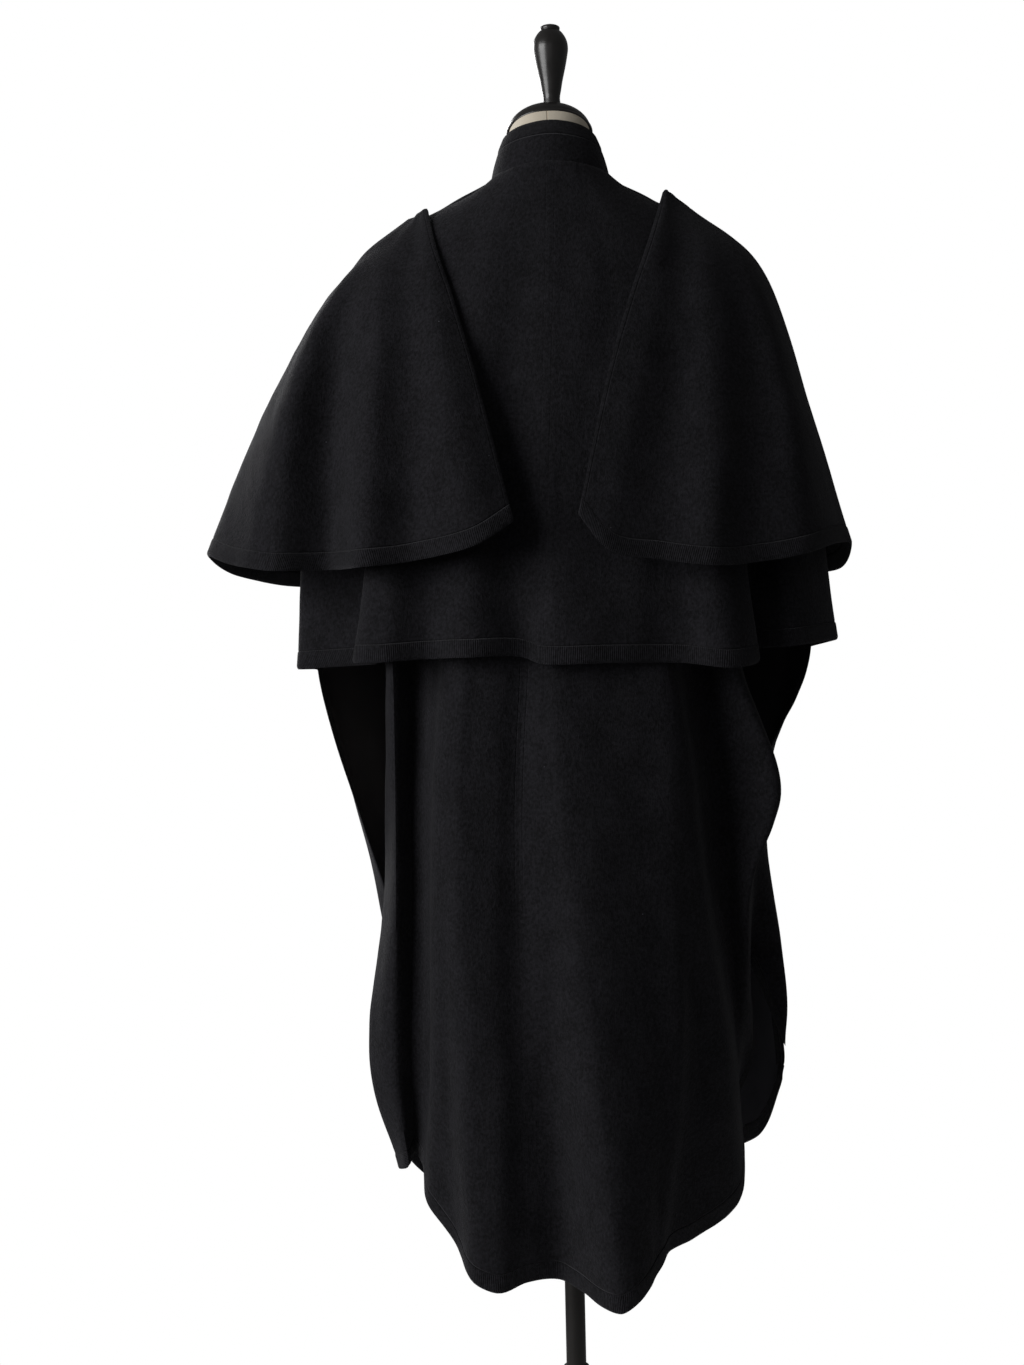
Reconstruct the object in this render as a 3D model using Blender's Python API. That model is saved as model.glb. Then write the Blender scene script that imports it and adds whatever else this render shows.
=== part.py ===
"""Wool cape coat on a limbless dress form.

Frame: metres, +Z up, origin on the floor under the form's pole.  The wearer
faces -Y, so +X is the wearer's left.  The coat is cut as a stand collar, a
long back in two halves, two long fronts, a cape in two halves and two
shoulder wings.  Every cloth piece is a wall swept along a table of ribs: one
row for each crest, trough or edge of the drape, in centimetres.
"""

from math import cos, pi, radians, sin
from typing import NamedTuple

import bmesh
import bpy
from mathutils import Vector
from mathutils.bvhtree import BVHTree

CM = 0.01

# Cloth
CLOTH_WALL = 0.0024
COLLAR_WALL = 0.0030
COLLAR_BOW = 0.0025
SEAM_GAP = 0.0003
LAYER_CLEARANCE = 0.0022

# Form and stand
TORSO_SIDES = 28
TORSO_SQUARENESS = 2.25
NECK_TOP_Z = 1.498
NECK_CAP_RADIUS = 0.046
NECK_CAP_CHAMFER = 0.0015
NECK_CAP_RIM = 0.0035
NECK_CAP_DOME = 0.025
NECK_CAP_TILT = radians(21.0)
FINIAL_FOOT_SLOPE = 0.27
FINIAL_OFFSET = -0.003
POLE_RADIUS = 0.0105
SLEEVE_RADIUS = 0.0135
SLEEVE_CHAMFER = 0.0015
SLEEVE_TOP_Z = 0.196
BOSS_RADIUS = 0.026
BOSS_HEIGHT = 0.020
BASE_RADIUS = 0.175
BASE_THICKNESS = 0.012
BASE_CHAMFER = 0.003

# Buttons
BUTTON_RADIUS = 0.0125
BUTTON_THICKNESS = 0.0042
BUTTON_STANDOFF = 0.0012
BUTTON_HEIGHTS = (1.335, 1.215, 1.095, 0.975)


class Section(NamedTuple):
    """One level of the torso: height, half width, depths and rise per depth."""
    z: float
    half_width: float
    front: float
    back: float
    tilt: float


TORSO = (
    Section(77.0, 13.9, 10.3, 10.1, 0.0),
    Section(79.0, 14.6, 10.8, 10.6, 0.0),
    Section(87.0, 14.8, 11.0, 10.8, 0.0),
    Section(96.0, 13.6, 10.0, 9.2, 0.0),
    Section(106.0, 12.0, 9.2, 7.6, 0.0),
    Section(114.0, 13.4, 10.8, 8.2, 0.0),
    Section(122.0, 15.2, 11.8, 9.0, 0.0),
    Section(128.0, 16.2, 10.8, 9.2, 0.0),
    Section(133.0, 16.2, 9.0, 8.6, 0.0),
    Section(136.0, 14.6, 7.6, 7.4, 0.0),
    Section(138.1, 12.0, 6.5, 6.7, 0.0),
    Section(139.9, 9.6, 5.7, 6.2, 0.0),
    Section(141.5, 7.2, 5.1, 5.7, 0.05),
    Section(143.0, 5.5, 4.8, 5.2, 0.10),
    Section(145.2, 4.7, 4.5, 4.7, 0.20),
    Section(147.4, 4.4, 4.3, 4.4, 0.30),
    Section(149.77, 4.3, 4.2, 4.3, 0.384),
)


class Turn(NamedTuple):
    """One ring of a turned piece: its name, height and radius."""
    name: str
    z: float
    radius: float


FINIAL = (
    Turn("foot", 152.62, 0.92),
    Turn("foot bead", 153.10, 0.96),
    Turn("neck", 153.80, 0.91),
    Turn("stem", 154.70, 1.06),
    Turn("stem", 155.55, 1.21),
    Turn("swell", 156.40, 1.40),
    Turn("swell", 157.35, 1.61),
    Turn("swell", 158.20, 1.77),
    Turn("widest", 159.10, 1.88),
    Turn("shoulder", 159.80, 1.78),
    Turn("shoulder", 160.40, 1.50),
    Turn("shoulder", 160.85, 1.14),
    Turn("groove", 160.97, 1.00),
    Turn("top bead", 161.12, 1.04),
    Turn("top bead", 161.45, 0.85),
    Turn("top", 161.60, 0.40),
)


class Rib(NamedTuple):
    """One crest, trough or edge of a cape or wing, from its top to its hem."""
    name: str
    top: tuple
    shoulder: tuple
    fall: tuple
    hem: tuple


class LongRib(NamedTuple):
    """One crest, trough or edge of a long panel.

    Its top is a place on the neck edge, or one x on the shoulder seam.  Hip, seat,
    thigh and knee are places in plan at their levels, or have a height of their own.
    """
    name: str
    top: tuple
    chest: tuple
    hip: tuple
    seat: tuple
    thigh: tuple
    knee: tuple
    hem: tuple


HIP_Z = 93.0
SEAT_Z = 80.5
THIGH_Z = 70.0
KNEE_Z = 56.0

# Knots place a table's columns along a rib; levels are where the wall has points
LONG_KNOTS = (0.0, 0.17, 0.46, 0.57, 0.66, 0.78, 1.0)
LONG_LEVELS = (0.0, 0.04, 0.085, 0.13, 0.17, 0.27, 0.37, 0.46,
               0.52, 0.57, 0.62, 0.66, 0.72, 0.78, 0.89, 1.0)
CAPE_KNOTS = (0.0, 0.27, 0.62, 1.0)
CAPE_LEVELS = (0.0, 0.07, 0.14, 0.21, 0.28, 0.38, 0.5, 0.62, 0.81, 1.0)
WING_KNOTS = (0.0, 0.25, 0.6, 1.0)
WING_LEVELS = (0.0, 0.08, 0.16, 0.25, 0.36, 0.48, 0.6, 0.8, 1.0)

# Shoulder seam of the long panels, falling and rounding away from the neck
SHOULDER_START = (6.5, 143.4)
SHOULDER_FALL = 0.324
SHOULDER_ROUND = 0.0185

BACK_LEFT = (
    LongRib("centre seam", (0.3, 6.3, 144.9), (0.9, 9.9, 128),
            (4.0, 12.6), (4.8, 12.9), (5.0, 13.0), (5.0, 13.0), (4.9, 12.8, 31.9)),
    LongRib("lobe", (2.5, 5.8, 144.8), (4.0, 9.9, 128),
            (6.6, 12.9), (7.2, 13.4), (7.7, 13.7), (8.0, 13.9), (8.1, 14.4, 31.3)),
    LongRib("crease crest", (4.4, 4.5, 144.4), (7.4, 9.7, 128),
            (9.0, 13.0), (9.8, 13.5), (10.4, 13.8), (10.9, 13.7), (10.7, 13.5, 32.4)),
    LongRib("crease foot", (5.7, 2.6, 143.9), (10.0, 9.3, 128),
            (10.4, 12.9), (11.3, 13.2), (11.9, 12.9), (12.0, 11.8), (11.7, 9.6, 34.4)),
    LongRib("main turn", 6.5, (12.6, 8.5, 128),
            (12.2, 11.2), (13.3, 11.0), (13.7, 10.6), (14.1, 9.4), (14.9, 6.8, 38.3)),
    LongRib("valley wall", 9.4, (14.6, 7.2, 128),
            (13.2, 7.6), (14.0, 7.2), (14.2, 6.6), (14.5, 5.4), (15.7, 2.4, 41.6)),
    LongRib("valley", 12.3, (16.2, 5.4, 128),
            (15.4, 5.0), (15.9, 4.4), (16.1, 3.9), (16.5, 3.1), (16.6, 0.6, 42.6)),
    LongRib("strip crest", 15.3, (17.4, 3.6, 128),
            (17.4, 7.2), (17.5, 7.0), (17.7, 6.6), (18.3, 5.2), (17.2, 2.6, 41.6)),
    LongRib("side edge", 18.2, (18.0, 1.4, 127),
            (18.4, 2.8), (18.8, 2.4), (19.1, 1.9), (21.1, 1.3), (18.3, 0.2, 40.8)),
)

BACK_RIGHT = (
    LongRib("centre seam", (0.3, 6.3, 144.9), (0.9, 9.9, 128),
            (4.0, 12.6), (4.8, 12.9), (5.0, 13.0), (5.0, 13.0), (4.9, 12.8, 31.9)),
    LongRib("hollow", (-1.3, 6.1, 144.9), (-1.8, 9.9, 128),
            (2.2, 13.4), (2.4, 14.1), (2.3, 14.1), (2.1, 13.5), (1.8, 11.6, 31.8)),
    LongRib("main crest", (-2.9, 5.6, 144.7), (-4.6, 9.9, 128),
            (-0.2, 13.9), (-0.7, 15.0), (-1.5, 16.0), (-2.4, 17.3), (-4.2, 19.4, 30.3)),
    LongRib("crest side", (-4.4, 4.5, 144.4), (-7.4, 9.7, 128),
            (-4.2, 13.3), (-4.8, 14.1), (-5.6, 14.7), (-6.7, 15.3), (-7.2, 16.6, 32.2)),
    LongRib("crease", (-5.7, 2.6, 143.9), (-10.0, 9.3, 128),
            (-7.6, 13.0), (-8.8, 13.1), (-9.8, 13.1), (-10.5, 13.0), (-8.9, 13.2, 34.4)),
    LongRib("crease foot", -6.5, (-12.2, 8.7, 128),
            (-9.8, 12.8), (-11.0, 12.4), (-11.8, 11.9), (-12.6, 11.0), (-12.2, 10.0, 35.4)),
    LongRib("main turn", -8.8, (-14.0, 7.7, 128),
            (-11.3, 11.6), (-12.7, 10.9), (-13.7, 10.2), (-15.6, 8.4), (-17.0, 6.0, 37.8)),
    LongRib("valley wall", -11.2, (-15.4, 6.4, 128),
            (-12.4, 8.4), (-13.8, 7.8), (-14.8, 7.0), (-16.7, 5.2), (-18.0, 2.4, 42.0)),
    LongRib("valley", -13.5, (-16.6, 4.9, 128),
            (-14.4, 6.4), (-16.0, 5.8), (-16.6, 5.0), (-17.3, 3.6), (-17.4, -0.4, 46.0)),
    LongRib("strip crest", -15.8, (-17.5, 3.3, 128),
            (-17.6, 8.6), (-21.2, 8.6), (-18.8, 7.2, 71.0), (-18.6, 4.6, 62.0), (-19.4, 0.4, 52.0)),
    LongRib("strip turn", -17.1, (-18.0, 2.0, 127),
            (-18.6, 5.0), (-21.6, 5.2, 81.0), (-19.9, 4.0, 74.0), (-19.6, 2.2, 68.0), (-19.2, -0.2, 61.5)),
    LongRib("side edge", -18.2, (-18.2, 1.0, 126),
            (-18.4, 1.8), (-20.6, 1.0, 81.0), (-21.7, 0.6, 71.0), (-22.9, 0.6, 61.0), (-22.8, 0.4, 53.0)),
)

FRONT_LEFT = (
    LongRib("side edge", 18.2, (19.2, -1.6, 126),
            (25.6, 0.0), (22.4, -0.6), (19.2, -1.4), (17.3, -3.0), (15.8, -4.4, 44.0)),
    LongRib("side bulge", 15.8, (18.4, -4.4, 126),
            (24.2, -4.6), (22.0, -5.2), (20.2, -5.8), (18.4, -7.0), (17.8, -8.4, 40.6)),
    LongRib("trough", 12.8, (16.6, -7.6, 126),
            (20.6, -9.0), (19.2, -9.2), (18.0, -9.5), (16.5, -10.0), (15.6, -10.8, 37.4)),
    LongRib("crest", 9.4, (13.8, -10.2, 126),
            (16.2, -13.6), (15.6, -14.0), (15.0, -14.6), (14.1, -15.4), (13.8, -16.4, 34.4)),
    LongRib("trough", 6.5, (10.4, -12.0, 126),
            (10.6, -13.4), (10.1, -13.6), (9.6, -13.8), (9.2, -14.0), (9.0, -14.4, 32.4)),
    LongRib("crest", (5.6, -3.1, 142.3), (6.2, -12.9, 126),
            (5.8, -15.2), (5.6, -15.6), (5.3, -16.1), (5.0, -16.8), (5.0, -17.6, 31.4)),
    LongRib("overlap", (3.4, -5.4, 140.9), (2.4, -13.1, 126),
            (2.0, -14.8), (1.9, -15.1), (1.8, -15.5), (1.8, -15.8), (1.8, -16.2, 31.0)),
    LongRib("front edge", (0.4, -6.3, 140.2), (-1.5, -13.1, 126),
            (-1.6, -14.7), (-1.6, -15.0), (-1.6, -15.3), (-1.6, -15.6), (-1.6, -16.0, 31.0)),
)

FRONT_RIGHT = (
    LongRib("side edge", -18.2, (-19.2, -1.8, 126),
            (-26.0, -0.2), (-20.6, -0.8), (-19.8, -1.4), (-22.4, -1.2), (-22.5, -0.8, 49.0)),
    LongRib("corner", -16.8, (-18.8, -3.4, 126),
            (-25.4, -2.8), (-21.4, -3.2), (-20.4, -3.6), (-20.6, -3.8), (-20.6, -2.8, 43.4)),
    LongRib("side bulge", -14.8, (-17.8, -5.6, 126),
            (-23.8, -6.0), (-21.6, -6.4), (-20.0, -6.8), (-18.8, -7.4), (-18.0, -7.8, 40.6)),
    LongRib("trough", -12.0, (-15.8, -8.2, 126),
            (-19.8, -9.8), (-18.4, -10.0), (-17.4, -10.3), (-16.3, -10.8), (-15.4, -11.2, 37.4)),
    LongRib("crest", -9.2, (-13.0, -10.7, 126),
            (-15.0, -14.2), (-14.5, -14.5), (-14.0, -15.0), (-13.3, -15.8), (-12.8, -16.8, 34.0)),
    LongRib("trough", -6.5, (-9.6, -12.3, 126),
            (-9.4, -13.9), (-9.2, -14.2), (-8.9, -14.5), (-8.6, -14.8), (-8.2, -15.0, 32.2)),
    LongRib("crest", (-5.6, -3.1, 142.3), (-5.8, -13.1, 126),
            (-4.6, -15.9), (-4.5, -16.4), (-4.4, -16.9), (-4.2, -17.4), (-4.0, -18.2, 31.3)),
    LongRib("overlap", (-3.4, -5.4, 140.9), (-2.2, -13.7, 126),
            (-1.6, -15.7), (-1.6, -16.1), (-1.6, -16.5), (-1.6, -16.8), (-1.6, -17.2, 31.0)),
    LongRib("front edge", (-0.4, -6.3, 140.2), (1.7, -13.7, 126),
            (1.7, -15.5), (1.7, -15.8), (1.7, -16.2), (1.7, -16.5), (1.7, -16.9, 31.0)),
)

CAPE_LEFT = (
    Rib("centre seam", (0.1, 6.75, 145.6), (0.5, 10.1, 134.5), (1.4, 12.9, 115), (2.35, 14.9, 93.9)),
    Rib("dip", (1.8, 6.6, 145.5), (3.0, 9.8, 134.5), (5.0, 11.7, 115), (4.2, 13.7, 94.6)),
    Rib("crest", (3.5, 6.0, 145.3), (7.0, 9.4, 134.5), (8.8, 12.6, 115), (9.2, 16.0, 94.7)),
    Rib("dip", (4.8, 5.0, 145.0), (10.6, 8.0, 134.6), (12.8, 10.9, 115), (14.0, 13.2, 94.6)),
    Rib("fold crest", (5.4, 4.3, 144.9), (12.8, 7.0, 135.0), (15.8, 11.0, 115), (18.3, 14.4, 94.4)),
    Rib("fold edge", (5.8, 3.7, 144.8), (14.4, 5.9, 135.4), (18.0, 9.6, 115), (21.1, 12.4, 94.4)),
    Rib("tuck", (6.4, 2.3, 144.5), (16.8, 3.8, 136.2), (19.0, 6.0, 115), (18.9, 7.2, 94.3)),
    Rib("side crest", (6.75, 0.4, 144.2), (19.2, 0.2, 137.2), (25.6, 1.8, 115), (27.5, 3.0, 94.0)),
    Rib("side trough", (6.7, -1.4, 143.9), (18.8, -2.6, 136.4), (24.6, -2.8, 115), (26.4, -3.6, 94.0)),
    Rib("crest", (6.3, -3.0, 143.3), (16.8, -5.8, 134.6), (22.4, -8.2, 115), (25.6, -9.8, 93.8)),
    Rib("trough", (5.6, -4.4, 142.6), (13.8, -8.6, 132.8), (17.2, -11.6, 115), (19.0, -13.2, 93.6)),
    Rib("crest", (4.5, -5.6, 141.9), (10.0, -10.8, 131.6), (12.6, -14.6, 115), (14.4, -17.6, 93.4)),
    Rib("trough", (3.2, -6.4, 141.4), (6.4, -12.2, 131.0), (8.2, -15.0, 115), (9.4, -16.8, 93.5)),
    Rib("front edge", (1.7, -6.9, 141.0), (3.4, -13.0, 130.8), (5.0, -15.8, 115), (6.2, -18.0, 93.3)),
)

CAPE_RIGHT = (
    Rib("centre seam", (0.1, 6.75, 145.6), (0.5, 10.1, 134.5), (1.4, 12.9, 115), (2.35, 14.9, 93.9)),
    Rib("crest", (-1.8, 6.6, 145.5), (-1.2, 10.0, 134.5), (-0.2, 13.1, 115), (0.5, 16.2, 93.8)),
    Rib("slope", (-2.8, 6.3, 145.4), (-4.6, 9.7, 134.5), (-5.4, 12.0, 115), (-5.8, 14.9, 93.8)),
    Rib("dip", (-3.7, 5.9, 145.3), (-8.0, 9.1, 134.6), (-10.6, 11.0, 115), (-11.8, 13.4, 93.7)),
    Rib("crest", (-4.8, 5.0, 145.1), (-11.2, 8.0, 134.8), (-14.2, 12.0, 115), (-16.4, 15.4, 93.1)),
    Rib("fold edge", (-5.8, 3.7, 144.9), (-14.0, 6.1, 135.6), (-17.2, 9.4, 115), (-19.7, 11.6, 93.6)),
    Rib("tuck", (-6.4, 2.3, 144.6), (-16.6, 3.8, 136.4), (-18.6, 5.4, 115), (-19.6, 6.6, 94.9)),
    Rib("side", (-6.7, 1.1, 144.4), (-18.4, 1.6, 137.2), (-22.2, 5.4, 115), (-23.6, 8.6, 95.2)),
    Rib("side crest", (-6.75, -0.4, 144.2), (-19.2, -0.6, 137.2), (-26.6, -0.2, 115), (-29.2, 0.2, 95.9)),
    Rib("side trough", (-6.6, -1.9, 143.8), (-18.4, -3.6, 136.0), (-23.6, -4.2, 115), (-26.8, -5.0, 95.2)),
    Rib("crest", (-6.2, -3.3, 143.1), (-16.4, -6.4, 134.4), (-21.6, -9.2, 115), (-24.6, -11.0, 94.4)),
    Rib("trough", (-5.5, -4.6, 142.4), (-13.4, -9.0, 132.6), (-16.6, -12.2, 115), (-18.0, -14.2, 93.8)),
    Rib("crest", (-4.4, -5.7, 141.9), (-9.6, -11.0, 131.6), (-11.8, -15.2, 115), (-13.0, -18.4, 93.5)),
    Rib("trough", (-3.1, -6.4, 141.4), (-6.2, -12.4, 131.0), (-7.8, -15.4, 115), (-8.6, -17.2, 93.5)),
    Rib("front edge", (-1.7, -6.9, 141.0), (-3.3, -13.2, 130.8), (-4.8, -16.2, 115), (-5.8, -18.6, 93.3)),
)

WING_LEFT = (
    Rib("back edge", (12.7, 2.2, 141.2), (11.4, 7.8, 135.0), (8.4, 12.9, 123.5), (4.8, 16.9, 107.9)),
    Rib("edge crest", (13.2, 1.9, 141.2), (13.0, 8.1, 134.6), (11.4, 14.0, 122.0), (8.6, 18.6, 105.6)),
    Rib("dip", (13.7, 1.6, 141.1), (15.0, 7.3, 134.6), (15.0, 12.2, 121.0), (15.0, 15.8, 104.3)),
    Rib("main crest", (14.1, 1.3, 141.0), (17.4, 7.0, 134.8), (18.9, 12.9, 121.0), (19.8, 16.8, 103.8)),
    Rib("valley", (14.5, 0.9, 140.9), (19.8, 5.0, 135.0), (22.8, 7.8, 121.0), (23.8, 10.6, 103.9)),
    Rib("outer crest", (14.7, 0.5, 140.8), (21.4, 3.6, 134.8), (27.0, 9.0, 121.5), (29.2, 12.2, 103.9)),
    Rib("tip rise", (14.8, 0.1, 140.8), (21.8, 1.4, 135.0), (29.0, 4.6, 122.0), (34.0, 7.0, 104.9)),
    Rib("tip", (14.8, -0.3, 140.8), (21.8, -0.6, 135.4), (30.2, -0.4, 122.2), (37.2, 0.2, 106.3)),
    Rib("roll", (14.7, -0.7, 140.8), (21.0, -3.2, 134.4), (28.4, -6.0, 121.0), (35.2, -11.0, 104.5)),
    Rib("trough", (14.4, -1.1, 140.9), (19.2, -6.0, 133.0), (23.6, -10.8, 119.0), (28.0, -15.4, 103.3)),
    Rib("crest", (14.0, -1.5, 141.0), (16.8, -8.6, 132.6), (18.2, -14.6, 119.0), (19.6, -20.2, 103.4)),
    Rib("dip", (13.5, -1.8, 141.1), (14.4, -9.6, 132.6), (14.4, -15.0, 119.0), (13.6, -18.6, 104.0)),
    Rib("front edge", (13.0, -2.1, 141.2), (12.2, -10.0, 133.0), (9.8, -15.6, 121.0), (7.2, -19.4, 107.4)),
)

WING_RIGHT = (
    Rib("back edge", (-11.5, 2.0, 142.5), (-9.2, 8.6, 135.6), (-5.4, 13.8, 123.8), (-1.7, 17.6, 108.4)),
    Rib("edge turn", (-12.1, 1.8, 143.1), (-11.0, 8.6, 135.2), (-8.0, 13.9, 122.0), (-4.6, 18.0, 104.9)),
    Rib("dip", (-12.6, 1.5, 143.1), (-13.0, 8.0, 135.2), (-11.6, 12.6, 121.0), (-9.6, 16.6, 103.9)),
    Rib("crest", (-13.2, 1.3, 142.6), (-15.6, 7.6, 135.4), (-15.8, 13.3, 121.0), (-14.8, 17.8, 103.2)),
    Rib("dip", (-13.8, 1.1, 142.2), (-17.8, 6.2, 135.4), (-19.2, 10.6, 121.0), (-18.6, 14.8, 103.4)),
    Rib("side crest", (-14.4, 0.8, 141.8), (-19.6, 4.8, 135.6), (-23.2, 10.0, 121.0), (-24.2, 14.0, 104.3)),
    Rib("side", (-14.8, 0.4, 141.5), (-21.0, 2.4, 135.6), (-25.6, 5.4, 121.0), (-28.2, 8.0, 105.6)),
    Rib("tip", (-15.0, 0.0, 141.4), (-21.6, 0.0, 135.8), (-26.6, 0.0, 121.0), (-31.0, 0.2, 105.9)),
    Rib("roll", (-14.9, -0.5, 141.4), (-21.0, -2.6, 134.8), (-25.6, -4.4, 120.0), (-30.6, -5.6, 103.7)),
    Rib("trough", (-14.6, -0.9, 141.4), (-19.4, -5.4, 133.6), (-22.8, -9.2, 119.0), (-26.0, -11.6, 103.4)),
    Rib("crest", (-14.2, -1.3, 141.4), (-17.0, -8.2, 132.8), (-18.6, -14.2, 119.0), (-20.2, -18.6, 103.2)),
    Rib("dip", (-13.6, -1.6, 141.5), (-14.4, -9.4, 132.8), (-13.8, -14.8, 119.0), (-13.4, -18.0, 103.8)),
    Rib("front edge", (-13.0, -1.9, 141.6), (-12.2, -9.9, 133.0), (-9.4, -15.5, 121.0), (-7.0, -19.2, 107.4)),
)


# ---------------------------------------------------------------- materials

def make_material(name, colour, roughness, metallic=0.0):
    material = bpy.data.materials.new(name)
    material.use_nodes = True
    shader = material.node_tree.nodes["Principled BSDF"]
    shader.inputs["Base Color"].default_value = (*colour, 1.0)
    shader.inputs["Roughness"].default_value = roughness
    shader.inputs["Metallic"].default_value = metallic
    material.diffuse_color = (*colour, 1.0)
    return material


# ------------------------------------------------------------------- curves

def spline(knots, points, t):
    """Smooth curve through points placed at knots, with weighted tangents."""
    last = len(points) - 1
    k = max(0, min(last - 1, sum(1 for knot in knots[1:-1] if knot <= t)))

    def slope(i):
        if i == 0:
            return (points[1] - points[0]) / (knots[1] - knots[0])
        if i == last:
            return (points[last] - points[last - 1]) / (knots[last] - knots[last - 1])
        before = knots[i] - knots[i - 1]
        after = knots[i + 1] - knots[i]
        rate_before = (points[i] - points[i - 1]) / before
        rate_after = (points[i + 1] - points[i]) / after
        return (rate_before * after + rate_after * before) / (before + after)

    span = knots[k + 1] - knots[k]
    f = (t - knots[k]) / span
    f2, f3 = f * f, f * f * f
    return (points[k] * (2 * f3 - 3 * f2 + 1)
            + slope(k) * span * (f3 - 2 * f2 + f)
            + points[k + 1] * (3 * f2 - 2 * f3)
            + slope(k + 1) * span * (f3 - f2))


def shoulder_seam(x, side):
    """The shoulder seam at x, on the back (1) or the front (-1) of its gap."""
    along = abs(x) - SHOULDER_START[0]
    height = SHOULDER_START[1] - SHOULDER_FALL * along - SHOULDER_ROUND * along ** 2
    return (x, side * SEAM_GAP / 2 / CM, height)


def rib_points(rib):
    """The points of a rib in metres, top to hem; a bare top is an x on the shoulder seam."""
    if isinstance(rib, LongRib):
        plans = ((rib.hip, HIP_Z), (rib.seat, SEAT_Z), (rib.thigh, THIGH_Z), (rib.knee, KNEE_Z))
        levels = [(*plan, height)[:3] for plan, height in plans]
        side = 1 if rib.chest[1] > 0 else -1
        top = rib.top if isinstance(rib.top, tuple) else shoulder_seam(rib.top, side)
        places = (top, rib.chest, *levels, rib.hem)
    else:
        places = (rib.top, rib.shoulder, rib.fall, rib.hem)
    return [Vector(place) * CM for place in places]


def spread(points):
    """Knots from 0 to 1 by the square root of each step, for a curve with no loops."""
    knots = [0.0]
    for a, b in zip(points, points[1:]):
        knots.append(knots[-1] + max((b - a).length, 0.002) ** 0.5)
    return [knot / knots[-1] for knot in knots]


def sheet(ribs, knots, levels, steps_between):
    """Grid of points: one column for each step across, top to hem in each."""
    rows = []
    places = [rib_points(rib) for rib in ribs]
    across = spread([points[-1] for points in places])
    samples = []
    for a, b in zip(across, across[1:]):
        samples += [a + (b - a) * step / steps_between for step in range(steps_between)]
    samples.append(1.0)
    for level in levels:
        section = [spline(knots, points, level) for points in places]
        rows.append([spline(across, section, s) for s in samples])
    return [list(column) for column in zip(*rows)]


def ring_point(radius_x, radius_y, angle, power=2.0):
    """A point on a squared ellipse, from +Y towards +X."""
    s, c = sin(angle), cos(angle)
    return (radius_x * abs(s) ** (2 / power) * (1 if s >= 0 else -1),
            radius_y * abs(c) ** (2 / power) * (1 if c >= 0 else -1))


# ------------------------------------------------------------------- solids

def finish(name, mesh_builder, material):
    mesh = bpy.data.meshes.new(name)
    bmesh.ops.recalc_face_normals(mesh_builder, faces=mesh_builder.faces)
    mesh_builder.to_mesh(mesh)
    mesh_builder.free()
    mesh.materials.append(material)
    mesh.shade_smooth()
    mesh.set_sharp_from_angle(angle=radians(40))
    piece = bpy.data.objects.new(name, mesh)
    bpy.context.collection.objects.link(piece)
    return piece


def grid_normals(grid):
    """Outward-or-inward unit normals of a grid of points, one for each point."""
    columns, rows = len(grid), len(grid[0])
    normals = []
    for i in range(columns):
        across_a, across_b = grid[max(i - 1, 0)], grid[min(i + 1, columns - 1)]
        line = []
        for j in range(rows):
            down = grid[i][min(j + 1, rows - 1)] - grid[i][max(j - 1, 0)]
            line.append((across_b[j] - across_a[j]).cross(down).normalized())
        normals.append(line)
    return normals


def wall(name, grid, thickness, material, square_side=False, square_top=False):
    """Closed solid of even thickness on both sides of a grid of points.

    A square side ends in a plane of even x, and a square top in one of even y.
    """
    normals = grid_normals(grid)
    if square_side:
        for normal in normals[0]:
            normal.x = 0.0
            normal.normalize()
    if square_top:
        for column, line in zip(grid, normals):
            if abs(column[0].y) < SEAM_GAP:
                line[0].y = 0.0
                line[0].normalize()
    builder = bmesh.new()
    outer, inner = (
        [[builder.verts.new(point + normal * thickness * side) for point, normal in zip(*pair)]
         for pair in zip(grid, normals)]
        for side in (0.5, -0.5))
    for skin, turn in ((outer, 1), (inner, -1)):
        for a, b in zip(skin, skin[1:]):
            for j in range(len(a) - 1):
                builder.faces.new((a[j], b[j], b[j + 1], a[j + 1])[::turn])
    outer_edge, inner_edge = edge_of(outer), edge_of(inner)
    for k, corner in enumerate(outer_edge):
        builder.faces.new((corner, inner_edge[k], inner_edge[k - 1], outer_edge[k - 1]))
    return finish(name, builder, material)


def edge_of(skin):
    """The points round the edge of a skin, once round."""
    top = [column[0] for column in skin]
    last_side = skin[-1][1:]
    hem = [column[-1] for column in skin[:-1]]
    first_side = skin[0][1:-1]
    return top + last_side + hem[::-1] + first_side[::-1]


def turned(name, profile, sides, material, foot_slope=0.0):
    """Solid of revolution about Z from (radius, height) pairs, with a sloping foot if asked."""
    builder = bmesh.new()
    rings = []
    for radius, height in profile:
        spots = [ring_point(radius, radius, 2 * pi * k / sides) for k in range(sides)]
        rings.append([builder.verts.new((*spot, height)) for spot in spots])
    for vertex in rings[0]:
        vertex.co.z += foot_slope * vertex.co.y
    close_rings(builder, rings)
    return finish(name, builder, material)


def close_rings(builder, rings):
    """Faces between rings of points, and across the first ring and the last."""
    for lower, upper in zip(rings, rings[1:]):
        for k in range(len(lower)):
            builder.faces.new((lower[k - 1], lower[k], upper[k], upper[k - 1]))
    builder.faces.new(rings[0])
    builder.faces.new(rings[-1])


# ---------------------------------------------------------------- clearance

def spine(point):
    """The place inside the body that a point of cloth is pushed away from."""
    return Vector((point.x * 0.45, 0.0, min(point.z, 1.28)))


def tree_of(piece):
    corners = [vertex.co for vertex in piece.data.vertices]
    return BVHTree.FromPolygons(corners, [tuple(face.vertices) for face in piece.data.polygons])


def shortfall(point, trees, gap, reach=0.03):
    """How far a point must move out from the spine to clear every tree by gap."""
    start = spine(point)
    distance = (point - start).length
    direction = (point - start) / distance
    outermost = max(last_hit(tree, start, direction, distance + reach) for tree in trees)
    return direction * max(0.0, outermost + gap - distance) if outermost else Vector()


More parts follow.
